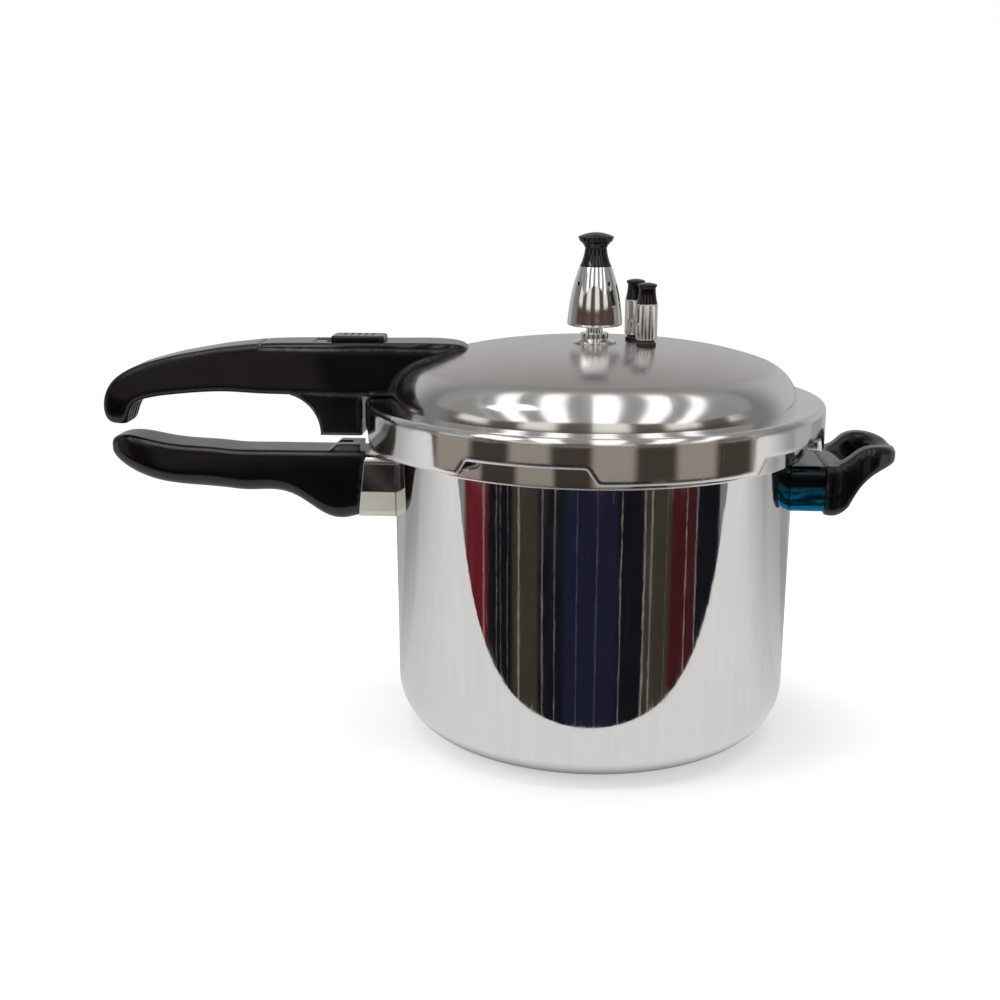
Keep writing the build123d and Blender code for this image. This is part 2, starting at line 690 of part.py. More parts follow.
def notch(angle):
    # A trapezoid opening between two lid lugs
    foot_half = SKIRT_RADIUS * sin(radians(NOTCH_FOOT_ANGLE / 2))
    head_half = SKIRT_RADIUS * sin(radians(NOTCH_HEAD_ANGLE / 2))
    flare = (foot_half - head_half) / NOTCH_HEIGHT
    low, high = SKIRT_FOOT - LID_SHEET, SKIRT_FOOT + NOTCH_HEIGHT
    wide = foot_half + flare * LID_SHEET
    face = make_face(Polyline((-wide, low), (wide, low), (head_half, high), (-head_half, high), close=True))
    face = fillet(face.vertices().group_by(Axis.Y)[-1], LID_SHEET)
    plane = Plane(origin=(SKIRT_RADIUS + LID_SHEET, 0, 0), x_dir=(0, 1, 0), z_dir=(1, 0, 0))
    return Rot(0, 0, angle) * extrude(plane * face, -SKIRT_RADIUS / 4)


def float_place():
    return -(DOME_RADIUS - FLOAT_INSET)


def lid_holes():
    holes = rod(VENT_STUD_RADIUS + HOLE_GAP, LEDGE_Z, DOME_TOP + LID_SHEET)
    for x, y in RELIEF_PLACES:
        holes += Pos(x, y, 0) * rod(RELIEF_STUD_RADIUS + HOLE_GAP, LEDGE_Z, DOME_TOP + LID_SHEET)
    holes += Pos(float_place(), 0, 0) * rod(BUSH_RADIUS + HOLE_GAP, LEDGE_Z, DOME_TOP + LID_SHEET)
    for angle in (-LID_RIVET_ANGLE, LID_RIVET_ANGLE):
        holes += lid_rivet_place(angle) * rod(LID_RIVET_RADIUS + HOLE_GAP, SKIRT_FOOT, DOME_TOP)
    return holes


def lid_rivet_place(angle):
    radius = (DOME_RADIUS + SKIRT_RADIUS - LID_SHEET) / 2
    return Rot(0, 0, 180 + angle) * Pos(radius, 0, 0)


def lid_shell():
    shell = lid_body()
    shell -= dome_body(LID_SHEET, LID_SHEET)
    shell -= rod(SKIRT_RADIUS - LID_SHEET, HOOK_TOP, LEDGE_Z - LID_SHEET)
    shell -= rod(HOOK_RADIUS, SKIRT_FOOT - LID_SHEET, HOOK_TOP + LID_SHEET)
    for angle in NOTCH_ANGLES:
        shell -= notch(angle)
    return shell - lid_holes()


def tongue_rise():
    # Step up from the ledge to the tongue, which passes under the lock's cam
    return cam_foot() - CAM_FLOOR_GAP - LID_PLATE_SHEET - LEDGE_Z - FIT_GAP


def lid_plate(gap=0.0):
    # A foot on the ledge, a step up and a tongue that runs out into the grip
    low = LEDGE_Z + FIT_GAP - gap
    high = LEDGE_Z + FIT_GAP + LID_PLATE_SHEET + gap
    wide = LID_PLATE_HALF_WIDTH + gap
    foot = block(-SKIRT_RADIUS - LID_PLATE_SHEET, -DOME_RADIUS + LEDGE_CORNER, -wide, wide, low, high)
    ring = tube(SKIRT_RADIUS + LID_PLATE_SHEET, DOME_RADIUS + PIECE_GAP, low, high)
    step_high = high + tongue_rise()
    step = block(-SKIRT_RADIUS - LID_PLATE_SHEET - gap, -SKIRT_RADIUS + gap, -wide, wide, low, step_high)
    far = -SKIRT_RADIUS - LID_TONGUE_REACH - gap
    tongue = block(far, -SKIRT_RADIUS + gap, -wide, wide, low + tongue_rise(), step_high)
    return (foot & ring) + step + tongue


def lid_handle_bracket():
    plate = lid_plate()
    x = -SKIRT_RADIUS - LATCH_REACH
    half, wide = LATCH_LENGTH / 2 + 2 * SLIDE_GAP, LATCH_SHEET / 2 + 2 * SLIDE_GAP
    plate -= block(x - half, x + half, -wide, wide, LEDGE_Z, DOME_TOP)
    plate -= Pos(-SKIRT_RADIUS - HANDLE_SCREW_REACH, 0, 0) * rod(SCREW_RADIUS + FIT_GAP, LEDGE_Z, DOME_TOP)
    for angle in (-LID_RIVET_ANGLE, LID_RIVET_ANGLE):
        plate -= lid_rivet_place(angle) * rod(LID_RIVET_RADIUS + HOLE_GAP, LEDGE_Z, DOME_TOP)
    return plate


def lid_handle_rivets():
    low = LEDGE_Z - LID_SHEET
    seat = LEDGE_Z + 2 * FIT_GAP + LID_PLATE_SHEET
    rivet = rod(LID_RIVET_RADIUS, low, seat + LID_RIVET_HEAD)
    rivet += rod(LID_RIVET_HEAD_RADIUS, seat, seat + LID_RIVET_HEAD)
    return joined(lid_rivet_place(angle) * rivet for angle in (-LID_RIVET_ANGLE, LID_RIVET_ANGLE))


def lid_grip_form():
    # Stations: reach and height of the top, then of the bottom, and the half width.
    # Reach runs out from the skirt, and heights are shares of the dome's height above the ledge
    stations = [
        (-57.6, 0.875, -57.6, 0.007, 6.0),
        (-54.4, 0.954, -54.4, 0.007, 10.6),
        (-47.0, 0.993, -47.0, 0.007, 13.8),
        (-20.0, 1.003, -20.0, 0.007, 15.0),
        (15.0, 0.997, 15.0, 0.013, 15.8),
        (38.0, 0.990, 38.0, 0.030, 15.3),
        (60.0, 0.964, 60.0, 0.040, 14.7),
        (70.5, 0.928, 70.0, 0.056, 14.5),
        (82.0, 0.882, 80.5, 0.066, 14.3),
        (93.0, 0.819, 91.0, 0.053, 14.2),
        (105.0, 0.747, 101.0, 0.026, 14.0),
        (117.0, 0.651, 110.5, -0.007, 13.9),
        (128.5, 0.536, 118.0, -0.040, 13.7),
        (138.0, 0.385, 125.0, -0.086, 13.6),
        (145.0, 0.190, 130.6, -0.151, 13.4),
        (148.8, -0.049, 133.8, -0.250, 13.1),
        (149.9, -0.280, 135.4, -0.375, 12.5),
        (149.0, -0.460, 136.6, -0.500, 11.4),
        (146.0, -0.566, 138.2, -0.580, 9.0),
    ]
    faces = []
    for top_reach, top_share, low_reach, low_share, half_width in stations:
        top, low = top_share * DOME_HEIGHT, low_share * DOME_HEIGHT
        lean = atan2(top_reach - low_reach, top - low)
        plane = Plane(
            origin=(-SKIRT_RADIUS - (top_reach + low_reach) / 2, 0, LEDGE_Z + (top + low) / 2),
            x_dir=(0, 1, 0),
            z_dir=(cos(lean), 0, sin(lean)),
        )
        thick = hypot(top_reach - low_reach, top - low)
        soft = min(LID_GRIP_ROUND, LID_GRIP_ROUND_SHARE * half_width)
        faces.append(plane * RectangleRounded(2 * half_width, thick, soft))
    return loft(faces)


def lid_foot():
    # The block under the grip that houses the latch, hollowed out towards the fingers
    near, far = FOOT_START, FOOT_START + FOOT_LENGTH
    low, high = LEDGE_Z - FOOT_DROP, LEDGE_Z + LID_GRIP_ROUND

    def at(reach, z):
        return (-SKIRT_RADIUS - reach, z)

    heel = at(far, low)
    brow = at(far + FOOT_BROW, LEDGE_Z + FOOT_BROW_RISE)
    side = (
        Polyline(brow, at(far + FOOT_BROW, high), at(near, high), at(near, low), heel)
        + ThreePointArc(heel, at(far + FOOT_SCOOP, LEDGE_Z - FOOT_SCOOP_DROP), brow)
    )
    body = extrude(Plane.XZ * make_face(side), FOOT_HALF_WIDTH, both=True)
    long = FOOT_LENGTH + 2 * FOOT_BROW
    plan = RectangleRounded(long, 2 * FOOT_HALF_WIDTH, FOOT_CORNER)
    plan = Pos(-SKIRT_RADIUS - near - long / 2, 0, low) * plan
    return body & extrude(plan, FOOT_DROP + 2 * LID_GRIP_ROUND)


def cover_box(gap=0.0):
    low = DOME_TOP - COVER_SHEET - gap
    wide = 2 * FOOT_HALF_WIDTH
    far = -SKIRT_RADIUS - COVER_END - gap
    return block(far, -SKIRT_RADIUS - COVER_START, -wide, wide, low, DOME_TOP + wide)


def bar_top():
    return DOME_TOP - COVER_SHEET - SLIDE_GAP


def lock_channel():
    # The hollow that the bar, the cam, the spring and the latch work in
    x = -SKIRT_RADIUS - LATCH_REACH
    top = DOME_TOP
    wide = BAR_HALF_WIDTH + SLIDE_GAP
    rear = -SKIRT_RADIUS - SLIDE_START - SLIDE_LENGTH - LOCK_TRAVEL - SLIDE_GAP
    front = float_place() + BUSH_FLANGE_RADIUS + CROSSBAR
    channel = block(rear, front, -wide, wide, bar_top() - BAR_SHEET - SLIDE_GAP, top)
    cam_low = cam_foot() - SLIDE_GAP
    cam_wide = LATCH_SHEET / 2 + CAM_SHEET + 2 * SLIDE_GAP + HOLE_GAP
    channel += block(rear, cam_front() + SLIDE_GAP, -LATCH_SHEET / 2 - SLIDE_GAP, cam_wide, cam_low, top)
    half, side = LATCH_LENGTH / 2 + SLIDE_GAP, LATCH_SHEET / 2 + SLIDE_GAP
    channel += block(x - half, x + half, -side, side, LEDGE_Z - 2 * FOOT_DROP, top)
    bore = rod(SPRING_RADIUS + PIECE_GAP, 0, SPRING_LENGTH + 2 * SLIDE_GAP)
    return channel + spring_place(cam_front()) * bore


def cam_front():
    return -SKIRT_RADIUS - LATCH_REACH + LATCH_LENGTH / 2 + LOCK_TRAVEL + 2 * LATCH_PIN_RADIUS


def cam_middle():
    return LATCH_SHEET / 2 + SLIDE_GAP + CAM_SHEET / 2


def spring_place(start):
    z = bar_top() - BAR_SHEET - SLIDE_GAP - SPRING_RADIUS
    return Pos(start, cam_middle(), z) * Rot(0, 90, 0)


def screw_seat():
    # Where a screw's head stops, a wall's thickness below the tongue
    return LEDGE_Z + tongue_rise() - SCREW_WALL


def handle_screw_hole(reach, tip):
    head = screw_seat()
    hole = rod(SCREW_RADIUS + HOLE_GAP, LEDGE_Z - FOOT_DROP, tip)
    hole += rod(SCREW_HEAD_RADIUS + PIECE_GAP, LEDGE_Z - FOOT_DROP, head)
    return Pos(-SKIRT_RADIUS - reach, 0, 0) * hole


def float_pocket():
    head = DOME_TOP - COVER_SHEET / 2
    return Pos(float_place(), 0, 0) * rod(BUSH_FLANGE_RADIUS + PIECE_GAP, LEDGE_Z, head)


def hook_grooves():
    # Upright finger grooves on the inner face of the hook
    near, far = -SKIRT_RADIUS - HOOK_GROOVE_REACH / 2, -SKIRT_RADIUS - HOOK_GROOVE_REACH
    low, high = LEDGE_Z - DOME_HEIGHT, LEDGE_Z - HOOK_GROOVE_TOP
    half = HOOK_GROOVE_WIDTH / 2
    grooves = []
    for i in range(HOOK_GROOVES):
        y = (i - (HOOK_GROOVES - 1) / 2) * HOOK_GROOVE_PITCH
        grooves.append(block(near, far, y - half, y + half, low, high))
    return joined(grooves)


def lid_grip_whole():
    form = (lid_grip_form() - hook_grooves()) + lid_foot()
    return form - Pos(0, 0, FIT_GAP) * lid_body()


def lid_handle_grip():
    grip = lid_grip_whole() - cover_box(PIECE_GAP)
    seam = -SKIRT_RADIUS - COVER_END
    deep = DOME_TOP - COVER_SHEET - PIECE_GAP
    wide = 2 * FOOT_HALF_WIDTH
    grip -= block(seam - COVER_SEAM, seam, -wide, wide, deep, DOME_TOP + COVER_SHEET)
    grip -= lid_plate(PIECE_GAP)
    rivet_top = LEDGE_Z + 3 * FIT_GAP + LID_PLATE_SHEET + LID_RIVET_HEAD
    for angle in (-LID_RIVET_ANGLE, LID_RIVET_ANGLE):
        room = rod(LID_RIVET_HEAD_RADIUS + PIECE_GAP, LEDGE_Z - LID_SHEET, rivet_top)
        grip -= lid_rivet_place(angle) * room
    grip -= lock_channel()
    grip -= float_pocket()
    grip -= handle_screw_hole(HANDLE_SCREW_REACH, screw_tip())
    return grip - handle_screw_hole(COVER_SCREW_REACH, DOME_TOP)


def screw_tip():
    return LEDGE_Z + tongue_rise() + LID_PLATE_SHEET + SCREW_RADIUS


def handle_screw(reach, tip):
    head = screw_seat() - FIT_GAP
    screw = rod(SCREW_RADIUS, head, tip) + rod(SCREW_HEAD_RADIUS, head - SCREW_HEAD, head)
    half, low = DRIVER_SLOT / 2, head - SCREW_HEAD
    screw -= block(-half, half, -SCREW_HEAD_RADIUS, SCREW_HEAD_RADIUS, low, low + SCREW_HEAD / 2)
    return Pos(-SKIRT_RADIUS - reach, 0, 0) * screw


def lid_handle_cover():
    cover = lid_grip_whole() & cover_box()
    trough_rear = -SKIRT_RADIUS - SLIDE_START - SLIDE_LENGTH - LOCK_TRAVEL - SLIDE_GAP
    trough_front = -SKIRT_RADIUS - SLIDE_START + SLIDE_GAP
    wide = SLIDE_HALF_WIDTH + SLIDE_GAP
    floor = slide_floor()
    cover -= block(trough_rear, trough_front, -wide, wide, floor, DOME_TOP + SLIDE_RISE)
    stem = stem_box(SLIDE_GAP)
    cover -= stem + Pos(-LOCK_TRAVEL, 0, 0) * stem + Pos(-LOCK_TRAVEL / 2, 0, 0) * stem
    screw_hole = rod(SCREW_RADIUS + FIT_GAP, LEDGE_Z, cover_screw_tip())
    cover -= Pos(-SKIRT_RADIUS - COVER_SCREW_REACH, 0, 0) * screw_hole
    return cover - float_pocket()


def cover_screw_tip():
    return DOME_TOP - COVER_SHEET / 2


def slide_floor():
    # The floor of the trough that the thumb slide runs in
    return DOME_TOP - TROUGH_DEPTH


def stem_box(gap=0.0):
    x = -SKIRT_RADIUS - SLIDE_START - SLIDE_LENGTH / 2
    half = STEM_LENGTH / 2 + gap
    wide = STEM_HALF_WIDTH + gap
    return block(x - half, x + half, -wide, wide, bar_top() - FIT_GAP, slide_floor() + SLIDE_RISE / 2)


def lock_slide():
    # The thumb piece above the cover and its stem through the cover's slot
    near = -SKIRT_RADIUS - SLIDE_START
    low = slide_floor() + SLIDE_GAP
    pad = block(near - SLIDE_LENGTH, near, -SLIDE_HALF_WIDTH, SLIDE_HALF_WIDTH, low, low + SLIDE_RISE)
    pad = fillet(pad.edges().filter_by(Axis.Z), 2 * SLIDE_ROUND)
    pad = fillet(pad.faces().sort_by(Axis.Z)[-1].edges(), SLIDE_ROUND)
    floor = low + SLIDE_RISE - GROOVE_DEPTH
    half, wide = GROOVE_WIDTH / 2, GROOVE_HALF_LENGTH
    for step in (-2, -1, 0, 1, 2):
        x = near - SLIDE_LENGTH / 2 + step * GROOVE_PITCH
        pad -= block(x - half, x + half, -wide, wide, floor, floor + SLIDE_RISE)
    return pad + stem_box()


def latch_pin_z():
    return bar_top() - BAR_SHEET - 3 * LATCH_PIN_RADIUS


def cam_foot():
    # The cam's lower edge, below the end of its sloping slot
    return latch_pin_z() - LOCK_TRAVEL - LATCH_PIN_RADIUS - HOLE_GAP - CAM_RIM


def bar_low():
    return bar_top() - 2 * FIT_GAP - BAR_SHEET


def lock_bar():
    # A plate under the cover: rails that straddle the float pin and a cam with a sloping slot
    low = bar_low()
    top = low + BAR_SHEET
    cross_rear = float_place() + FLOAT_HEAD_RADIUS + SLIDE_GAP
    front = cross_rear + CROSSBAR
    rear = -SKIRT_RADIUS - SLIDE_START - SLIDE_LENGTH
    bar = block(rear, front, -BAR_HALF_WIDTH, BAR_HALF_WIDTH, low, top)
    inner = BAR_HALF_WIDTH - RAIL_WIDTH
    slot_rear = cross_rear - LOCK_TRAVEL - 2 * FLOAT_HEAD_RADIUS
    bar -= block(slot_rear, cross_rear, -inner, inner, low - BAR_SHEET, top + BAR_SHEET)
    side = cam_middle()
    half = CAM_SHEET / 2
    x = -SKIRT_RADIUS - LATCH_REACH
    rear_end = x - LATCH_LENGTH / 2
    cam = block(rear_end, cam_front(), side - half, side + half, cam_foot(), low + BAR_SHEET / 2)
    reach = LOCK_TRAVEL * sqrt(2) + 2 * (LATCH_PIN_RADIUS + HOLE_GAP)
    slot = extrude(SlotOverall(reach, 2 * (LATCH_PIN_RADIUS + HOLE_GAP)), 2 * CAM_SHEET, both=True)
    middle = (x + LOCK_TRAVEL / 2, side, latch_pin_z() - LOCK_TRAVEL / 2)
    return bar + (cam - Pos(*middle) * (Rot(0, 45, 0) * (Rot(90, 0, 0) * slot)))


def latch():
    # A bolt that slides in the foot, with a side pin in the cam's slot
    x = -SKIRT_RADIUS - LATCH_REACH
    low = LEDGE_Z - FOOT_DROP + LATCH_TUCK
    half, wide = LATCH_LENGTH / 2, LATCH_SHEET / 2
    top = latch_pin_z() + LATCH_PIN_RADIUS
    bolt = block(x - half, x + half, -wide, wide, low, top)
    foot = bolt.faces().sort_by(Axis.Z)[0].edges().filter_by(Axis.Y)
    bolt = chamfer(foot, LATCH_SHEET / 4)
    pin = rod(LATCH_PIN_RADIUS, 0, wide + SLIDE_GAP + CAM_SHEET)
    return bolt + Pos(x, 0, latch_pin_z()) * (Rot(-90, 0, 0) * pin)


def lock_spring():
    coil = tube(SPRING_RADIUS, SPRING_RADIUS - SPRING_WIRE, SLIDE_GAP / 2, SPRING_LENGTH)
    return spring_place(cam_front()) * coil


def float_head():
    # Underside of the float pin's head, just clear of the lock's bar
    return bar_low() - SLIDE_GAP - FLOAT_HEAD


def float_bush():
    # A flanged bush with its flange shaped to the dome
    x = float_place()
    seat, top = dome_z(-x), float_head() - FIT_GAP
    body = rod(BUSH_RADIUS, seat - BUSH_DROP, top)
    flange = Pos(x, 0, 0) * rod(BUSH_FLANGE_RADIUS, seat - LID_SHEET, top)
    bush = Pos(x, 0, 0) * body + (flange - dome_body(0, 0))
    return bush - Pos(x, 0, 0) * rod(FLOAT_STEM_RADIUS + HOLE_GAP, LEDGE_Z, DOME_TOP)


def float_nut():
    x = float_place()
    low = dome_z(-x) - BUSH_DROP + PIECE_GAP
    ring = hexagon(BUSH_FLANGE_RADIUS, low, low + NUT_HEIGHT + LID_SHEET)
    ring -= rod(BUSH_RADIUS + FIT_GAP, 0, DOME_TOP)
    return (Pos(x, 0, 0) * ring) & dome_body(LID_SHEET + FIT_GAP, LID_SHEET)


def float_foot():
    # Underside of the bush, which the float's seal meets when it rises
    return dome_z(-float_place()) - BUSH_DROP


def float_pin():
    top = float_head()
    seal = float_foot() - FLOAT_RISE - SLIDE_GAP
    pin = rod(FLOAT_STEM_RADIUS, seal - FLOAT_SEAL - FLOAT_FLANGE, top + FLOAT_HEAD)
    pin += rod(FLOAT_HEAD_RADIUS, top, top + FLOAT_HEAD)
    pin += rod(FLOAT_FLANGE_RADIUS, seal - FLOAT_SEAL - FLOAT_FLANGE, seal - FLOAT_SEAL)
    return Pos(float_place(), 0, 0) * pin


def float_seal():
    top = float_foot() - FLOAT_RISE - SLIDE_GAP
    ring = tube(FLOAT_FLANGE_RADIUS, FLOAT_STEM_RADIUS + FIT_GAP, top - FLOAT_SEAL + FIT_GAP, top)
    return Pos(float_place(), 0, 0) * ring


def vent_seat():
    return DOME_TOP + FIT_GAP


def vent_base():
    # The dished washer that shows round the vent's foot
    low, high = vent_seat(), vent_seat() + VENT_BASE
    inner = VENT_STUD_RADIUS + HOLE_GAP
    return turned_points(
        (inner, low), (VENT_BASE_RADIUS, low), (VENT_BASE_RADIUS, low + VENT_BASE / 3),
        (VENT_FLANGE_RADIUS, high), (inner, high),
    )


def vent_tip():
    return vent_seat() + VENT_BASE + VENT_RISE


def vent_tube():
    low = DOME_TOP - LID_SHEET - VENT_DROP
    flange = vent_seat() + VENT_BASE + FIT_GAP
    body = rod(VENT_STUD_RADIUS, low, flange) + rod(VENT_FLANGE_RADIUS, flange, flange + VENT_FLANGE)
    body += rod(VENT_RADIUS, flange + VENT_FLANGE, vent_tip())
    bore = rod(VENT_BORE, low - VENT_DROP, vent_tip() + VENT_RISE)
    deep = 2 * NEEDLE_RADIUS
    seat = Pos(0, 0, vent_tip() - NEEDLE_RADIUS) * Cone(0, deep, deep, align=BASE_ALIGN)
    return body - bore - seat


def vent_washer():
    high = DOME_TOP - LID_SHEET - FIT_GAP
    return tube(VENT_NUT_RADIUS, VENT_STUD_RADIUS + HOLE_GAP, high - LID_SHEET / 2, high)


def vent_nut():
    high = DOME_TOP - 1.5 * LID_SHEET - 2 * FIT_GAP
    return hexagon(VENT_NUT_RADIUS, high - VENT_NUT, high) - rod(VENT_STUD_RADIUS + FIT_GAP, 0, DOME_TOP)


def vent_strainer():
    # A slotted cup that keeps food out of the vent
    high = DOME_TOP - 1.5 * LID_SHEET - 3 * FIT_GAP - VENT_NUT
    low = high - STRAINER_HEIGHT
    floor, roof = low + STRAINER_SHEET, high - STRAINER_SHEET
    cup = rod(STRAINER_RADIUS, low, high) - rod(STRAINER_RADIUS - STRAINER_SHEET, floor, roof)
    cup -= rod(VENT_STUD_RADIUS + FIT_GAP, floor, DOME_TOP)
    long, half = 2 * STRAINER_RADIUS, STRAINER_SLOT / 2
    slot = block(-long, long, -half, half, floor + STRAINER_SHEET, roof - STRAINER_SHEET)
    for i in range(STRAINER_SLOTS):
        cup -= Rot(0, 0, i * 180 / STRAINER_SLOTS) * slot - rod(VENT_STUD_RADIUS + FIT_GAP, low, high)
    return cup


def weight_low():
    return DOME_TOP + WEIGHT_STAND


def weight_cone():
    low = weight_low()
    high = low + WEIGHT_HEIGHT
    shoulder = low + WEIGHT_SKIRT
    rim = WEIGHT_RADIUS - WEIGHT_RIM_ROUND
    bend = WEIGHT_RIM_ROUND * (1 - sin(radians(45)))
    side = (WEIGHT_RADIUS, low + WEIGHT_RIM_ROUND)
    top_of_skirt = (WEIGHT_RADIUS - WEIGHT_SKIRT_DRAFT, shoulder)
    neck = (WEIGHT_NECK_RADIUS, high)
    belly = ((top_of_skirt[0] + neck[0]) / 2 + WEIGHT_BULGE, (shoulder + high) / 2)
    body = turned(
        Line((0, low), (rim, low)),
        ThreePointArc((rim, low), (WEIGHT_RADIUS - bend, low + bend), side),
        Line(side, top_of_skirt),
        ThreePointArc(top_of_skirt, belly, neck),
        Polyline(neck, (0, high), (0, low)),
    )
    roof = high - 2 * LID_SHEET
    body -= rod(VENT_RADIUS + SLIDE_GAP, low - LID_SHEET, vent_tip() + LID_SHEET)
    body -= rod(NEEDLE_RADIUS + FIT_GAP, low, roof)
    body -= rod(knob_stud() + FIT_GAP, roof - FIT_GAP, high + LID_SHEET)
    for i in range(WEIGHT_HOLES):
        turn = WEIGHT_HOLE_TURN - 90 + i * 360 / WEIGHT_HOLES
        bore = Rot(0, 90, 0) * rod(WEIGHT_HOLE_RADIUS, NEEDLE_RADIUS + LID_SHEET, 2 * WEIGHT_RADIUS)
        body -= Pos(0, 0, high - WEIGHT_SKIRT) * (Rot(0, 0, turn) * bore)
    return body


def knob_stud():
    return WEIGHT_NECK_RADIUS / 2


def weight_knob():
    low = weight_low() + WEIGHT_HEIGHT + FIT_GAP
    high = low + KNOB_HEIGHT
    waist = low + KNOB_WAIST
    rim = high - KNOB_RIM
    band = rim - KNOB_BAND
    under = (KNOB_RIM_RADIUS - KNOB_BAND_DRAFT, band)
    foot = (WEIGHT_NECK_RADIUS, low)
    narrow = (KNOB_WAIST_RADIUS, waist)
    knob = turned(
        Line((0, low), foot),
        ThreePointArc(foot, ((foot[0] + narrow[0]) / 2 - KNOB_HOLLOW, (low + waist) / 2), narrow),
        ThreePointArc(narrow, ((narrow[0] + under[0]) / 2 - KNOB_HOLLOW, (waist + band) / 2), under),
        Line(under, (KNOB_RIM_RADIUS, rim)),
        crown((KNOB_RIM_RADIUS, rim), high),
        Line((0, high), (0, low)),
    )
    return knob + rod(knob_stud(), low - 2 * LID_SHEET, low + FIT_GAP)


def weight_needle():
    tip = vent_tip() - NEEDLE_RADIUS + 2 * FIT_GAP + HOLE_GAP
    top = weight_low() + WEIGHT_HEIGHT - 2 * LID_SHEET - FIT_GAP
    point = Pos(0, 0, tip) * Cone(0, NEEDLE_RADIUS, NEEDLE_RADIUS, align=BASE_ALIGN)
    return point + rod(NEEDLE_RADIUS, tip + NEEDLE_RADIUS, top)


def relief_seat(place):
    # The dome's height at a relief valve's highest edge
    x, y = place
    return dome_z(max(0, sqrt(x**2 + y**2) - RELIEF_SEAL_RADIUS)) + FIT_GAP


def relief_foot(place):
    return relief_seat(place) + RELIEF_SEAL + FIT_GAP


def relief_top(place):
    return relief_foot(place) + RELIEF_NECK + RELIEF_HEIGHT


def relief_body(place):
    foot = relief_foot(place)
    base = foot + RELIEF_NECK
    high = relief_top(place)
    low = DOME_TOP - LID_SHEET - RELIEF_DROP
    soft = RELIEF_RADIUS - RELIEF_NECK_RADIUS
    body = turned_points(
        (0, low), (RELIEF_STUD_RADIUS, low), (RELIEF_STUD_RADIUS, foot), (RELIEF_NECK_RADIUS, foot),
        (RELIEF_NECK_RADIUS, base - soft), (RELIEF_RADIUS, base), (RELIEF_RADIUS, high), (0, high),
    )
    body -= rod(RELIEF_PORT, low - RELIEF_DROP, high)
    body -= rod(RELIEF_BORE, base, high - RELIEF_ROOF)
    return Pos(*place, 0) * (body - rod(PLUNGER_STEM_RADIUS + HOLE_GAP, base, high + CAP_HEIGHT))


def relief_seal(place):
    # A rubber ring cut to the dome's slope
    seat = relief_seat(place)
    ring = tube(RELIEF_SEAL_RADIUS, RELIEF_STUD_RADIUS + FIT_GAP, seat - LID_SHEET, seat + RELIEF_SEAL)
    return Pos(*place, 0) * ring - Pos(0, 0, FIT_GAP) * dome_body(0, 0)


def relief_nut(place):
    high = DOME_TOP - LID_SHEET - FIT_GAP
    nut = hexagon(RELIEF_NUT_RADIUS, high - RELIEF_NUT, high)
    nut -= rod(RELIEF_STUD_RADIUS + FIT_GAP, 0, DOME_TOP)
    return (Pos(*place, 0) * nut) & dome_body(LID_SHEET + FIT_GAP, LID_SHEET)


def relief_plunger(place):
    base = relief_foot(place) + RELIEF_NECK + FIT_GAP
    stem_top = relief_top(place) + CAP_HEIGHT / 2
    disc = rod(RELIEF_BORE - SLIDE_GAP, base, base + PLUNGER_DISC)
    return Pos(*place, 0) * (disc + rod(PLUNGER_STEM_RADIUS, base, stem_top))


def relief_spring(place):
    low = relief_foot(place) + RELIEF_NECK + FIT_GAP + PLUNGER_DISC + FIT_GAP
    high = relief_top(place) - RELIEF_ROOF - FIT_GAP
    outer = RELIEF_BORE - SLIDE_GAP
    return Pos(*place, 0) * tube(outer, outer - SPRING_WIRE, low, high)


def relief_cap(place):
    low = relief_top(place) + SLIDE_GAP
    high = low + CAP_HEIGHT
    lip = high - CAP_LIP
    edge = (CAP_LIP_RADIUS, high - CAP_LIP / 3)
    foot, waist = (CAP_FOOT_RADIUS, low), (CAP_WAIST_RADIUS, lip)
    cap = turned(
        Line((0, low), foot),
        ThreePointArc(foot, (CAP_WAIST_RADIUS + CAP_HOLLOW, (low + lip) / 2), waist),
        Polyline(waist, (CAP_LIP_RADIUS, lip + CAP_LIP / 3), edge),
        crown(edge, high),
        Line((0, high), (0, low)),
    )
    bore_top = relief_top(place) + CAP_HEIGHT / 2 + FIT_GAP
    bore = rod(PLUNGER_STEM_RADIUS + FIT_GAP, low - CAP_HEIGHT, bore_top)
    return Pos(*place, 0) * (cap - bore)


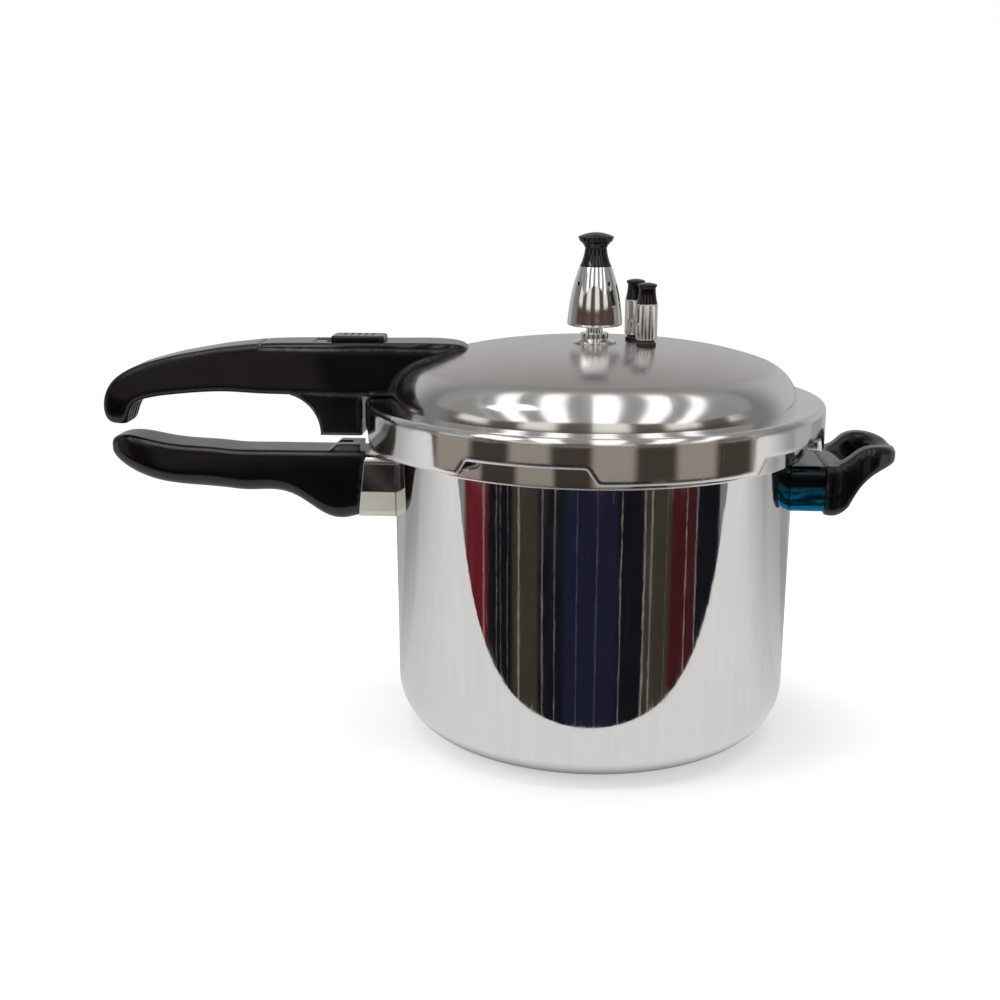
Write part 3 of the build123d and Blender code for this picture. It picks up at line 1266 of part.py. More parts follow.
def assembly():
    nodes = {
        "pot_shell": pot_shell(),
        "pot_handle_bracket": pot_handle_bracket(),
        "pot_handle_rivets": rivets(pot_rivet_places()),
        "pot_handle_sleeve": pot_handle_sleeve(),
        "pot_handle_grip": pot_handle_grip(),
        "pot_handle_bolt": pot_handle_bolt(),
        "helper_bracket": helper_bracket(),
        "helper_rivets": rivets(helper_rivet_places()),
        "helper_sleeve": helper_sleeve(),
        "helper_grip": helper_grip(),
        "helper_bolt": helper_bolt(),
        "gasket": gasket(),
        "lid_shell": lid_shell(),
        "lid_handle_bracket": lid_handle_bracket(),
        "lid_handle_rivets": lid_handle_rivets(),
        "lid_handle_grip": lid_handle_grip(),
        "lid_handle_screw": handle_screw(HANDLE_SCREW_REACH, screw_tip() - FIT_GAP),
        "lid_handle_cover": lid_handle_cover(),
        "cover_screw": handle_screw(COVER_SCREW_REACH, cover_screw_tip() - FIT_GAP),
        "lock_slide": lock_slide(),
        "lock_bar": lock_bar(),
        "lock_spring": lock_spring(),
        "latch": latch(),
        "float_bush": float_bush(),
        "float_nut": float_nut(),
        "float_pin": float_pin(),
        "float_seal": float_seal(),
        "vent_base": vent_base(),
        "vent_tube": vent_tube(),
        "vent_washer": vent_washer(),
        "vent_nut": vent_nut(),
        "vent_strainer": vent_strainer(),
        "weight_cone": weight_cone(),
        "weight_knob": weight_knob(),
        "weight_needle": weight_needle(),
    }
    for number, place in enumerate(RELIEF_PLACES, 1):
        nodes[f"relief_{number}_body"] = relief_body(place)
        nodes[f"relief_{number}_seal"] = relief_seal(place)
        nodes[f"relief_{number}_nut"] = relief_nut(place)
        nodes[f"relief_{number}_plunger"] = relief_plunger(place)
        nodes[f"relief_{number}_spring"] = relief_spring(place)
        nodes[f"relief_{number}_cap"] = relief_cap(place)
    return nodes


os.makedirs("parts", exist_ok=True)
for name, shape in assembly().items():
    export_step(shape, f"parts/{name}.step")
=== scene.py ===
import json
import math

import bpy
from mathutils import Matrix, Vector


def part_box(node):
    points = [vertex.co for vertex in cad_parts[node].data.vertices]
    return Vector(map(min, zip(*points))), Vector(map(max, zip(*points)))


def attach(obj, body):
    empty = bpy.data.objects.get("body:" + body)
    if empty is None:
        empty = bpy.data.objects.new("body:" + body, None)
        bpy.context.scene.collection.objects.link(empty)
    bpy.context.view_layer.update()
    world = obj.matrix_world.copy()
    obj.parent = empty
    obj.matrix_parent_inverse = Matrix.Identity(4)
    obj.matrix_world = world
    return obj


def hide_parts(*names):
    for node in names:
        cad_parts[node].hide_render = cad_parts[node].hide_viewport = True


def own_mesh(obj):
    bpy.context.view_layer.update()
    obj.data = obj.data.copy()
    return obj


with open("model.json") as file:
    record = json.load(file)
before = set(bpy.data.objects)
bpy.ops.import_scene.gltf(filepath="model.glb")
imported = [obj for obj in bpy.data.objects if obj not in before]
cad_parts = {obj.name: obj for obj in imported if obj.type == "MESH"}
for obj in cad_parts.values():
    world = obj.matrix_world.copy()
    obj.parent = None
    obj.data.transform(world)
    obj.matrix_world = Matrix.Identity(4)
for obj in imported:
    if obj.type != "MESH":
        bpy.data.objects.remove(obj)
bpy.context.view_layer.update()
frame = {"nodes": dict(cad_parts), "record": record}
nodes = frame["nodes"]
scene = bpy.context.scene
bpy.ops.object.select_all(action="DESELECT")
print("frame loaded,", len(nodes), "CAD nodes")


def put(tree, kind, place, values=None, **settings):  # one node, with its settings and socket values
    node = tree.nodes.new("ShaderNode" + kind)
    node.location = place
    for key, value in settings.items():
        setattr(node, key, value)
    for key, value in (values or {}).items():
        node.inputs[key].default_value = value
    return node


def wire(tree, *joins):
    for source, target in joins:
        tree.links.new(source, target)


def calc(tree, place, operation, first, second=None):  # a Math node fed by sockets or plain numbers
    node = put(tree, "Math", place, operation=operation)
    for index, value in enumerate((first, second)):
        if value is None:
            continue
        if isinstance(value, (int, float)):
            node.inputs[index].default_value = value
        else:
            tree.links.new(value, node.inputs[index])
    return node.outputs[0]


def remap(tree, place, value, low, high, newLow, newHigh):  # smooth clamped change of range
    node = put(tree, "MapRange", place, {1: low, 2: high, 3: newLow, 4: newHigh},
               interpolation_type="SMOOTHSTEP")
    tree.links.new(value, node.inputs[0])
    return node.outputs[0]


def tint(tree, place, factor, colourA, colourB):  # mix of two colours, each a socket or four numbers
    node = put(tree, "Mix", place, data_type="RGBA")
    tree.links.new(factor, node.inputs[0])
    for index, value in ((6, colourA), (7, colourB)):
        if isinstance(value, (tuple, list)):
            node.inputs[index].default_value = value
        else:
            tree.links.new(value, node.inputs[index])
    return node.outputs[2]


def grey(value, warm=0.0):  # a neutral, a little warmer or cooler
    return (value * (1 + warm), value, value * (1 - warm), 1.0)


# effects shared between finishes
def newGroup(name, inputs, outputs):
    group = bpy.data.node_groups.new(name, "ShaderNodeTree")
    for socketName, kind, value in inputs:
        socket = group.interface.new_socket(socketName, in_out="INPUT", socket_type="NodeSocket" + kind)
        if value is not None:
            socket.default_value = value
    for socketName, kind in outputs:
        group.interface.new_socket(socketName, in_out="OUTPUT", socket_type="NodeSocket" + kind)
    start = group.nodes.new("NodeGroupInput")
    start.location = (-900, 0)
    end = group.nodes.new("NodeGroupOutput")
    end.location = (700, 0)
    return group, start, end


def makeSpunLines():  # rings left by the spinning lathe, round the part's own axis
    group, start, end = newGroup("spunLines", [("Vector", "Vector", None), ("Fine", "Float", 2500.0)],
                                 [("Lines", "Float"), ("Drift", "Float")])
    split = put(group, "SeparateXYZ", (-700, 0))
    flat = put(group, "CombineXYZ", (-520, 100))
    reach = put(group, "VectorMath", (-340, 100), operation="LENGTH")
    wire(group, (start.outputs["Vector"], split.inputs[0]), (split.outputs[0], flat.inputs[0]),
         (split.outputs[1], flat.inputs[1]), (flat.outputs[0], reach.inputs[0]))
    along = calc(group, (-160, 60), "SUBTRACT", reach.outputs["Value"], split.outputs[2])
    lines = put(group, "TexNoise", (120, 120), {"Detail": 3.0, "Roughness": 0.7}, noise_dimensions="1D")
    drift = put(group, "TexNoise", (120, -160), {"Scale": 90.0, "Detail": 2.0}, noise_dimensions="1D")
    wire(group, (along, lines.inputs["W"]), (start.outputs["Fine"], lines.inputs["Scale"]),
         (along, drift.inputs["W"]), (lines.outputs[0], end.inputs["Lines"]),
         (drift.outputs[0], end.inputs["Drift"]))
    return group


def makeDrawnStreaks():  # upright streaks that polishing leaves on a round wall
    group, start, end = newGroup("drawnStreaks", [("Vector", "Vector", None), ("Count", "Float", 40.0)],
                                 [("Streaks", "Float")])
    split = put(group, "SeparateXYZ", (-700, 0))
    flat = put(group, "CombineXYZ", (-520, 100))
    unit = put(group, "VectorMath", (-340, 100), operation="NORMALIZE")
    wire(group, (start.outputs["Vector"], split.inputs[0]), (split.outputs[0], flat.inputs[0]),
         (split.outputs[1], flat.inputs[1]), (flat.outputs[0], unit.inputs[0]))
    lift = put(group, "CombineXYZ", (-340, -120))
    wire(group, (split.outputs[2], lift.inputs[2]))
    around = put(group, "VectorMath", (-140, 0), operation="ADD")
    wire(group, (unit.outputs[0], around.inputs[0]), (lift.outputs[0], around.inputs[1]))
    streaks = put(group, "TexNoise", (120, 120), {"Detail": 4.0, "Roughness": 0.65})
    wire(group, (around.outputs[0], streaks.inputs["Vector"]), (start.outputs["Count"], streaks.inputs["Scale"]),
         (streaks.outputs[0], end.inputs["Streaks"]))
    return group


def makeHandMarks():  # smears, fine hairline scratches and specks from handling
    group, start, end = newGroup("handMarks", [("Vector", "Vector", None), ("Size", "Float", 60.0)],
                                 [("Smear", "Float"), ("Scratch", "Float"), ("Speck", "Float")])
    smear = put(group, "TexNoise", (-500, 200), {"Detail": 5.0, "Roughness": 0.6, "Distortion": 0.4})
    wire(group, (start.outputs["Vector"], smear.inputs["Vector"]), (start.outputs["Size"], smear.inputs["Scale"]),
         (smear.outputs[0], end.inputs["Smear"]))
    hair = put(group, "Mapping", (-700, -60), {"Rotation": (0.4, 0.7, 0.9), "Scale": (900.0, 14.0, 60.0)})
    cut = put(group, "TexNoise", (-500, -60), {"Scale": 1.0, "Detail": 2.0})
    wire(group, (start.outputs["Vector"], hair.inputs["Vector"]), (hair.outputs[0], cut.inputs["Vector"]))
    wire(group, (remap(group, (-300, -60), cut.outputs[0], 0.66, 0.74, 0.0, 1.0), end.inputs["Scratch"]))
    speck = put(group, "TexNoise", (-500, -320), {"Scale": 1400.0, "Detail": 0.0})
    wire(group, (start.outputs["Vector"], speck.inputs["Vector"]))
    wire(group, (remap(group, (-300, -320), speck.outputs[0], 0.76, 0.82, 0.0, 1.0), end.inputs["Speck"]))
    return group


def makeEdgeRub():  # where two faces meet: a rounded normal, and a mask for rubbed edges
    group, start, end = newGroup("edgeRub", [("Radius", "Float", 0.0005), ("Vector", "Vector", None)],
                                 [("Edge", "Float"), ("Bend", "Float"), ("Normal", "Vector")])
    rounded = put(group, "Bevel", (-500, 100), samples=8)
    surface = put(group, "NewGeometry", (-500, -120))
    match = put(group, "VectorMath", (-280, 40), operation="DOT_PRODUCT")
    broken = put(group, "TexNoise", (-280, -200), {"Scale": 220.0, "Detail": 4.0})
    wire(group, (start.outputs["Radius"], rounded.inputs["Radius"]), (rounded.outputs[0], match.inputs[0]),
         (surface.outputs["Normal"], match.inputs[1]), (start.outputs["Vector"], broken.inputs["Vector"]),
         (rounded.outputs[0], end.inputs["Normal"]))
    bend = remap(group, (-60, 40), match.outputs["Value"], 0.999, 0.9, 0.0, 1.0)
    patchy = remap(group, (-60, -200), broken.outputs[0], 0.35, 0.65, 0.15, 1.0)
    wire(group, (calc(group, (160, 0), "MULTIPLY", bend, patchy), end.inputs["Edge"]), (bend, end.inputs["Bend"]))
    return group


effects = {"lines": makeSpunLines(), "streaks": makeDrawnStreaks(),
           "marks": makeHandMarks(), "edge": makeEdgeRub()}


def useEffect(tree, name, place, coords, values=None):
    node = put(tree, "Group", place)
    node.node_tree = effects[name]
    tree.links.new(coords, node.inputs["Vector"])
    for key, value in (values or {}).items():
        node.inputs[key].default_value = value
    return node.outputs


def newFinish(name):  # an empty material: its tree, its shader and its own coordinates
    finish = bpy.data.materials.new(name)
    finish.use_nodes = True
    tree = finish.node_tree
    shader = tree.nodes["Principled BSDF"]
    shader.location = (900, 0)
    coords = put(tree, "TexCoord", (-1300, 0)).outputs["Object"]
    return finish, tree, shader, coords


def addBump(tree, place, height, distance, normal, shader, strength=1.0):
    bump = put(tree, "Bump", place, {"Strength": strength, "Distance": distance})
    wire(tree, (height, bump.inputs["Height"]), (normal, bump.inputs["Normal"]),
         (bump.outputs[0], shader.inputs["Normal"]))


# metals
def makeMetal(name, look):  # turned or polished metal with rings, smears and rubbed edges
    finish, tree, shader, coords = newFinish(name)
    shader.inputs["Metallic"].default_value = 1.0
    rings = useEffect(tree, "lines", (-1000, 300), coords, {"Fine": look["fine"]})
    marks = useEffect(tree, "marks", (-1000, 0), coords, {"Size": look["smearSize"]})
    edge = useEffect(tree, "edge", (-1000, -300), coords, {"Radius": look["round"]})
    base = tint(tree, (-300, 300), marks["Smear"], look["dark"], look["light"])
    wire(tree, (tint(tree, (0, 300), edge["Edge"], base, look["rubbed"]), shader.inputs["Base Color"]))
    rough = remap(tree, (-600, 0), marks["Smear"], 0.3, 0.7, look["roughLow"], look["roughHigh"])
    scratch = calc(tree, (-600, -150), "MULTIPLY", marks["Scratch"], look["scratch"])
    wire(tree, (calc(tree, (-300, 0), "ADD", rough, scratch), shader.inputs["Roughness"]))
    addBump(tree, (500, -300), rings["Lines"], look["depth"], edge["Normal"], shader)
    return finish


chromeLook = {"fine": 6000.0, "smearSize": 90.0, "round": 0.0005, "dark": grey(0.80), "light": grey(0.92),
              "rubbed": grey(0.95), "roughLow": 0.03, "roughHigh": 0.08, "scratch": 0.08, "depth": 0.000003}
plainSteelLook = {"fine": 3000.0, "smearSize": 140.0, "round": 0.0004, "dark": grey(0.42, 0.02),
                  "light": grey(0.58, 0.02), "rubbed": grey(0.7), "roughLow": 0.22, "roughHigh": 0.38,
                  "scratch": 0.15, "depth": 0.00001}
rivetLook = {"fine": 2500.0, "smearSize": 120.0, "round": 0.0004, "dark": grey(0.66), "light": grey(0.78),
             "rubbed": grey(0.85), "roughLow": 0.18, "roughHigh": 0.3, "scratch": 0.1, "depth": 0.000008}
brightChrome = makeMetal("brightChrome", chromeLook)
plainSteel = makeMetal("plainSteel", plainSteelLook)
rivetMetal = makeMetal("rivetMetal", rivetLook)


potLook = {"dark": grey(0.76), "light": grey(0.87), "rubbed": grey(0.93), "roughLow": 0.02, "roughHigh": 0.075,
           "fine": 1800.0, "count": 18.0, "wave": 0.00002, "scratch": 0.05, "round": 0.0008,
           "insideRough": 0.2, "smearSize": 35.0, "ringShare": 0.02, "inward": -0.004}


def makePotWall(look):  # mirror polish outside, plain drawn metal inside
    finish, tree, shader, coords = newFinish("polishedPot")
    shader.inputs["Metallic"].default_value = 1.0
    rings = useEffect(tree, "lines", (-1000, 500), coords, {"Fine": look["fine"]})
    streaks = useEffect(tree, "streaks", (-1000, 250), coords, {"Count": look["count"]})
    marks = useEffect(tree, "marks", (-1000, 0), coords, {"Size": look["smearSize"]})
    edge = useEffect(tree, "edge", (-1000, -300), coords, {"Radius": look["round"]})
    base = tint(tree, (-300, 300), streaks["Streaks"], look["dark"], look["light"])
    wire(tree, (tint(tree, (0, 300), edge["Edge"], base, look["rubbed"]), shader.inputs["Base Color"]))
    polish = remap(tree, (-600, 100), streaks["Streaks"], 0.35, 0.7, look["roughLow"], look["roughHigh"])
    hairline = calc(tree, (-600, -60), "MULTIPLY", marks["Scratch"], look["scratch"])
    outside = calc(tree, (-400, 50), "ADD", polish, hairline)
    surface = put(tree, "NewGeometry", (-1000, -560))
    outward = put(tree, "VectorMath", (-800, -560), operation="DOT_PRODUCT")
    wire(tree, (coords, outward.inputs[0]), (surface.outputs["Normal"], outward.inputs[1]))
    inner = remap(tree, (-600, -560), outward.outputs["Value"], 0.0, look["inward"], 0.0,
                  look["insideRough"])
    wire(tree, (calc(tree, (-200, 0), "ADD", outside, inner), shader.inputs["Roughness"]))
    height = calc(tree, (100, -200), "MULTIPLY_ADD", rings["Lines"], look["ringShare"])
    wire(tree, (streaks["Streaks"], height.node.inputs[2]))
    addBump(tree, (500, -300), height, look["wave"], edge["Normal"], shader)
    return finish


lidLook = {"satinDark": grey(0.60, 0.012), "satinLight": grey(0.74, 0.012), "bright": grey(0.84),
           "satinRough": 0.19, "shoulderRough": 0.13, "skirtRough": 0.07, "crease": 0.0975, "shoulder": 0.104,
           "skirtRadius": 0.121, "fine": 2600.0, "depth": 0.00002, "round": 0.0036, "rim": 0.117, "rimRough": 0.22,
           "smearSize": 40.0, "skirtFade": 0.003, "rimFade": 0.002, "rimWearAndHighlight": grey(0.95), "scratch": 0.08,
           "drift": 0.10, "satinBump": 0.85, "brightBump": 0.15}


def makeLidTop(look):  # satin spun dome, brighter shoulder, polished skirt, and a skirt edge painted paler as a painted highlight
    finish, tree, shader, coords = newFinish("spunLid")
    shader.inputs["Metallic"].default_value = 1.0
    rings = useEffect(tree, "lines", (-1000, 500), coords, {"Fine": look["fine"]})
    marks = useEffect(tree, "marks", (-1000, 0), coords, {"Size": look["smearSize"]})
    edge = useEffect(tree, "edge", (-1000, -300), coords, {"Radius": look["round"]})
    split = put(tree, "SeparateXYZ", (-1000, -560))
    flat = put(tree, "CombineXYZ", (-820, -560))
    reach = put(tree, "VectorMath", (-640, -560), operation="LENGTH")
    wire(tree, (coords, split.inputs[0]), (split.outputs[0], flat.inputs[0]), (split.outputs[1], flat.inputs[1]),
         (flat.outputs[0], reach.inputs[0]))
    satin = remap(tree, (-420, -500), reach.outputs["Value"], look["shoulder"], look["crease"], 0.0, 1.0)
    skirt = remap(tree, (-420, -760), reach.outputs["Value"], look["skirtRadius"] - look["skirtFade"],
                  look["skirtRadius"], look["shoulderRough"], look["skirtRough"])
    brushed = tint(tree, (-420, 400), rings["Lines"], look["satinDark"], look["satinLight"])
    base = tint(tree, (-150, 400), satin, look["bright"], brushed)
    # the skirt's outer edge is painted paler and made rougher: partly edge wear, partly a painted highlight line
    # along the rim
    outer = remap(tree, (-420, -1000), reach.outputs["Value"], look["rim"], look["rim"] + look["rimFade"], 0.0, 1.0)
    rim = calc(tree, (-150, -900), "MULTIPLY", edge["Bend"], outer)
    wire(tree, (tint(tree, (100, 400), rim, base, look["rimWearAndHighlight"]), shader.inputs["Base Color"]))
    dull = calc(tree, (-420, 0), "MULTIPLY_ADD", rings["Drift"], look["drift"])
    dull.node.inputs[2].default_value = look["satinRough"] - look["drift"] / 2
    blend = put(tree, "Mix", (-150, 0))
    wire(tree, (satin, blend.inputs[0]), (skirt, blend.inputs[2]), (dull, blend.inputs[3]))
    worn = calc(tree, (80, -60), "MULTIPLY", marks["Scratch"], look["scratch"])
    dulled = calc(tree, (80, -200), "MULTIPLY_ADD", rim, look["rimRough"])
    wire(tree, (worn, dulled.node.inputs[2]))
    wire(tree, (calc(tree, (300, 0), "ADD", blend.outputs[0], dulled), shader.inputs["Roughness"]))
    share = calc(tree, (100, -400), "MULTIPLY_ADD", satin, look["satinBump"])
    share.node.inputs[2].default_value = look["brightBump"]
    surface = put(tree, "NewGeometry", (-150, -1100))
    facing = put(tree, "Mix", (100, -1000), data_type="VECTOR")
    wire(tree, (outer, facing.inputs[0]), (surface.outputs["Normal"], facing.inputs[4]),
         (edge["Normal"], facing.inputs[5]))
    addBump(tree, (500, -300), calc(tree, (300, -300), "MULTIPLY", rings["Lines"], share), look["depth"],
            facing.outputs[1], shader)
    return finish


polishedPot = makePotWall(potLook)
spunLid = makeLidTop(lidLook)


# black moulding, rubber and film
def makeMoulded(name, look):  # plastic or rubber: fine skin, soft smears, greyed edges
    finish, tree, shader, coords = newFinish(name)
    marks = useEffect(tree, "marks", (-1000, 0), coords, {"Size": look["smearSize"]})
    edge = useEffect(tree, "edge", (-1000, -300), coords, {"Radius": look["round"]})
    skin = put(tree, "TexNoise", (-1000, -560), {"Scale": look["skin"], "Detail": 3.0})
    wire(tree, (coords, skin.inputs["Vector"]))
    base = tint(tree, (-300, 300), marks["Smear"], look["dark"], look["light"])
    greyed = tint(tree, (-60, 300), edge["Edge"], base, look["rubbed"])
    wire(tree, (tint(tree, (200, 300), marks["Speck"], greyed, look["dust"]), shader.inputs["Base Color"]))
    rough = remap(tree, (-600, 0), marks["Smear"], 0.3, 0.7, look["roughLow"], look["roughHigh"])
    scratch = calc(tree, (-600, -150), "MULTIPLY", marks["Scratch"], look["scratch"])
    wire(tree, (calc(tree, (-300, 0), "ADD", rough, scratch), shader.inputs["Roughness"]))
    addBump(tree, (500, -300), skin.outputs[0], look["depth"], edge["Normal"], shader)
    return finish


bakeliteLook = {"smearSize": 45.0, "round": 0.0010, "skin": 900.0, "dark": grey(0.0015), "light": grey(0.003),
                "rubbed": grey(0.05), "dust": grey(0.005), "roughLow": 0.05, "roughHigh": 0.11, "scratch": 0.05,
                "depth": 0.000008}
greyRubberLook = {"smearSize": 60.0, "round": 0.0006, "skin": 1800.0, "dark": grey(0.16), "light": grey(0.22),
                  "rubbed": grey(0.28), "dust": grey(0.4), "roughLow": 0.5, "roughHigh": 0.68, "scratch": 0.1,
                  "depth": 0.00004}
blackRubberLook = {"smearSize": 80.0, "round": 0.0004, "skin": 2000.0, "dark": grey(0.012), "light": grey(0.025),
                   "rubbed": grey(0.05), "dust": grey(0.1), "roughLow": 0.5, "roughHigh": 0.7, "scratch": 0.1,
                   "depth": 0.00004}
gripLook = {**bakeliteLook, "round": 0.0045}  # the grips' edges are well rounded
blackBakelite = makeMoulded("blackBakelite", bakeliteLook)
gripBakelite = makeMoulded("gripBakelite", gripLook)
greyRubber = makeMoulded("greyRubber", greyRubberLook)
blackRubber = makeMoulded("blackRubber", blackRubberLook)


sleeveLook = {"dark": grey(0.62, 0.03), "light": grey(0.76, 0.03), "lowerTone": (0.60, 0.60, 0.50, 1.0),
              "lowerPale": (0.74, 0.74, 0.66, 1.0), "edgeZ": 0.1355, "soft": 0.0012, "rough": 0.08, "dull": 0.42,
              "round": 0.0008, "smearSize": 90.0, "lowerMetal": 0.35, "scratch": 0.1, "depth": 0.00002}


def makeSleeve(look):  # flame guard: bright steel above; paler, duller and less metallic below a set height
    finish, tree, shader, coords = newFinish("polishedSleeve")
    edge = useEffect(tree, "edge", (-1000, -300), coords, {"Radius": look["round"]})
    marks = useEffect(tree, "marks", (-1000, 0), coords, {"Size": look["smearSize"]})
    split = put(tree, "SeparateXYZ", (-1000, 250))
    wire(tree, (coords, split.inputs[0]))
    low = remap(tree, (-700, 250), split.outputs[2], look["edgeZ"] + look["soft"], look["edgeZ"], 0.0, 1.0)
    # below edgeZ the sleeve turns pale, duller and less metallic than the steel above
    bright = tint(tree, (-400, 400), marks["Smear"], look["dark"], look["light"])
    lowerBand = tint(tree, (-400, 200), marks["Smear"], look["lowerTone"], look["lowerPale"])
    wire(tree, (tint(tree, (-100, 300), low, bright, lowerBand), shader.inputs["Base Color"]),
         (remap(tree, (-400, 0), low, 0.0, 1.0, 1.0, look["lowerMetal"]), shader.inputs["Metallic"]))
    rough = remap(tree, (-400, -150), low, 0.0, 1.0, look["rough"], look["dull"])
    worn = calc(tree, (-400, -300), "MULTIPLY", marks["Scratch"], look["scratch"])
    wire(tree, (calc(tree, (-100, -100), "ADD", rough, worn), shader.inputs["Roughness"]))
    addBump(tree, (500, -300), marks["Smear"], look["depth"], edge["Normal"], shader)
    return finish


polishedSleeve = makeSleeve(sleeveLook)
filmLook = {"film": (0.003, 0.14, 0.28, 1.0), "filmPale": (0.02, 0.40, 0.64, 1.0), "paintedDarkReflection": (0.02, 0.025, 0.03, 1.0),
            "edgeZ": 0.1445, "ragged": 0.004, "wrinkle": 120.0, "depth": 0.0004, "rough": 0.16,
            "round": 0.0007, "tearSize": 160.0}


def makeFilmedSleeve(look):  # steel with blue protective film left on its lower half; above the film it is painted near-black, a painted dark reflection
    finish, tree, shader, coords = newFinish("filmedSleeve")
    shader.inputs["Metallic"].default_value = 1.0
    edge = useEffect(tree, "edge", (-1000, -300), coords, {"Radius": look["round"]})
    split = put(tree, "SeparateXYZ", (-1000, 200))
    torn = put(tree, "TexNoise", (-1000, 0), {"Scale": look["tearSize"], "Detail": 3.0})
    folds = put(tree, "Mapping", (-1200, -560), {"Scale": (0.4, 1.0, 2.4)})
    crease = put(tree, "TexNoise", (-1000, -560), {"Scale": look["wrinkle"], "Detail": 4.0, "Distortion": 0.8})
    wire(tree, (coords, split.inputs[0]), (coords, torn.inputs["Vector"]), (coords, folds.inputs["Vector"]),
         (folds.outputs[0], crease.inputs["Vector"]))
    shake = calc(tree, (-760, 0), "MULTIPLY_ADD", torn.outputs[0], look["ragged"])
    wire(tree, (split.outputs[2], shake.node.inputs[2]))
    covered = remap(tree, (-540, 100), shake, look["edgeZ"] + look["ragged"], look["edgeZ"], 0.0, 1.0)
    covered.node.interpolation_type = "LINEAR"
    blue = tint(tree, (-540, 400), remap(tree, (-760, 400), crease.outputs[0], 0.45, 0.7, 0.0, 1.0),
                look["film"], look["filmPale"])
    # above the film the steel's colour is near-black: a painted dark reflection, not the steel's own tone
    wire(tree, (tint(tree, (-200, 300), covered, look["paintedDarkReflection"], blue), shader.inputs["Base Color"]))
    wire(tree, (remap(tree, (-200, 0), crease.outputs[0], 0.3, 0.7, look["rough"] * 0.5, look["rough"] * 1.5),
                shader.inputs["Roughness"]))
    addBump(tree, (500, -300), calc(tree, (100, -300), "MULTIPLY", crease.outputs[0], covered), look["depth"],
            edge["Normal"], shader)
    return finish


filmedSleeve = makeFilmedSleeve(filmLook)
print("finishes made:", len(bpy.data.materials))

slotFinish = {"polished_aluminium": polishedPot, "spun_aluminium": spunLid, "black_bakelite": blackBakelite,
              "polished_steel": polishedSleeve, "filmed_steel": filmedSleeve, "plain_steel": plainSteel,
              "rivet_aluminium": rivetMetal, "grey_rubber": greyRubber, "black_rubber": blackRubber,
              "bright_chrome": brightChrome}
for row in frame["record"]["subparts"]:  # every CAD node wears its slot's finish
    mesh = nodes[row["node"]].data
    mesh.materials.clear()
    mesh.materials.append(gripBakelite if row["node"].endswith("_grip") else slotFinish[row["material_slot"]])
print("finishes on the CAD nodes")

springLook = {"wire": 0.0009, "sides": 10, "turns": 7, "steps": 20, "smooth": math.radians(60)}


def coilSpring(name, node, look):  # a wound spring for the CAD's plain tube
    low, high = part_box(node)
    middle = [(low[axis] + high[axis]) / 2 for axis in (0, 1)]
    tall = high[2] - low[2]
    bpy.ops.mesh.primitive_circle_add(vertices=look["sides"], radius=look["wire"] / 2, rotation=(math.pi / 2, 0, 0),
                                      location=((high[0] - low[0] - look["wire"]) / 2, 0, 0))
    coil = bpy.context.object
    coil.name = name
    bpy.ops.object.transform_apply(location=True, rotation=True, scale=True)
    wind = coil.modifiers.new("wind", "SCREW")
    wind.iterations = look["turns"]
    wind.screw_offset = (tall - look["wire"]) / look["turns"]
    wind.steps = wind.render_steps = look["steps"]
    bpy.ops.object.modifier_apply(modifier="wind")
    bpy.ops.object.mode_set(mode="EDIT")
    bpy.ops.mesh.select_all(action="SELECT")
    bpy.ops.mesh.fill_holes(sides=0)  # caps the wire's two ends
    bpy.ops.mesh.select_all(action="SELECT")
    bpy.ops.mesh.normals_make_consistent(inside=False)
    bpy.ops.transform.translate(value=(*middle, low[2] + look["wire"] / 2))
    bpy.ops.object.mode_set(mode="OBJECT")
    bpy.ops.object.shade_smooth_by_angle(angle=look["smooth"])
    coil.data.materials.append(plainSteel)
    bpy.ops.object.select_all(action="DESELECT")
    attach(coil, "lid")
    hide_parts(node)
    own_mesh(coil)


for number in (1, 2):
    coilSpring(f"reliefCoil{number}", f"relief_{number}_spring", springLook)
print("springs wound")


# the floor, plain cards that only gloss shows, and the lights
stageLook = {"size": 8.0, "near": 0.22, "far": 0.95, "paint": grey(0.50), "glow": 0.50}


def addCard(name, size, place):  # a flat card that isn't part of the object
    bpy.ops.mesh.primitive_plane_add(size=1.0, location=place)
    card = bpy.context.object
    card.name = name
    card.scale = (size[0], size[1], 1.0)
    bpy.ops.object.transform_apply(location=True, rotation=True, scale=True)
    bpy.ops.object.select_all(action="DESELECT")
    return card


def makeFloorPaint(look):  # pale sheet that catches a soft shadow and fades to white further out
    paint = bpy.data.materials.new("paleFloor")
    paint.use_nodes = True
    tree = paint.node_tree
    tree.nodes.remove(tree.nodes["Principled BSDF"])
    coords = put(tree, "TexCoord", (-1100, 0)).outputs["Object"]
    away = put(tree, "VectorMath", (-900, 0), operation="LENGTH")
    wire(tree, (coords, away.inputs[0]))
    fade = remap(tree, (-700, 0), away.outputs["Value"], look["near"], look["far"], 0.0, 1.0)
    matt = put(tree, "BsdfDiffuse", (-200, 150))
    glow = put(tree, "Emission", (-200, -100))
    wire(tree, (tint(tree, (-450, 150), fade, look["paint"], grey(0.0)), matt.inputs["Color"]),
         (remap(tree, (-450, -100), fade, 0.0, 1.0, look["glow"], 1.0), glow.inputs["Strength"]))
    both = put(tree, "AddShader", (50, 0))
    wire(tree, (matt.outputs[0], both.inputs[0]), (glow.outputs[0], both.inputs[1]),
         (both.outputs[0], tree.nodes["Material Output"].inputs[0]))
    return paint


floor = addCard("floor", (stageLook["size"], stageLook["size"]), (0, 0, 0))
floor.data.materials.append(makeFloorPaint(stageLook))


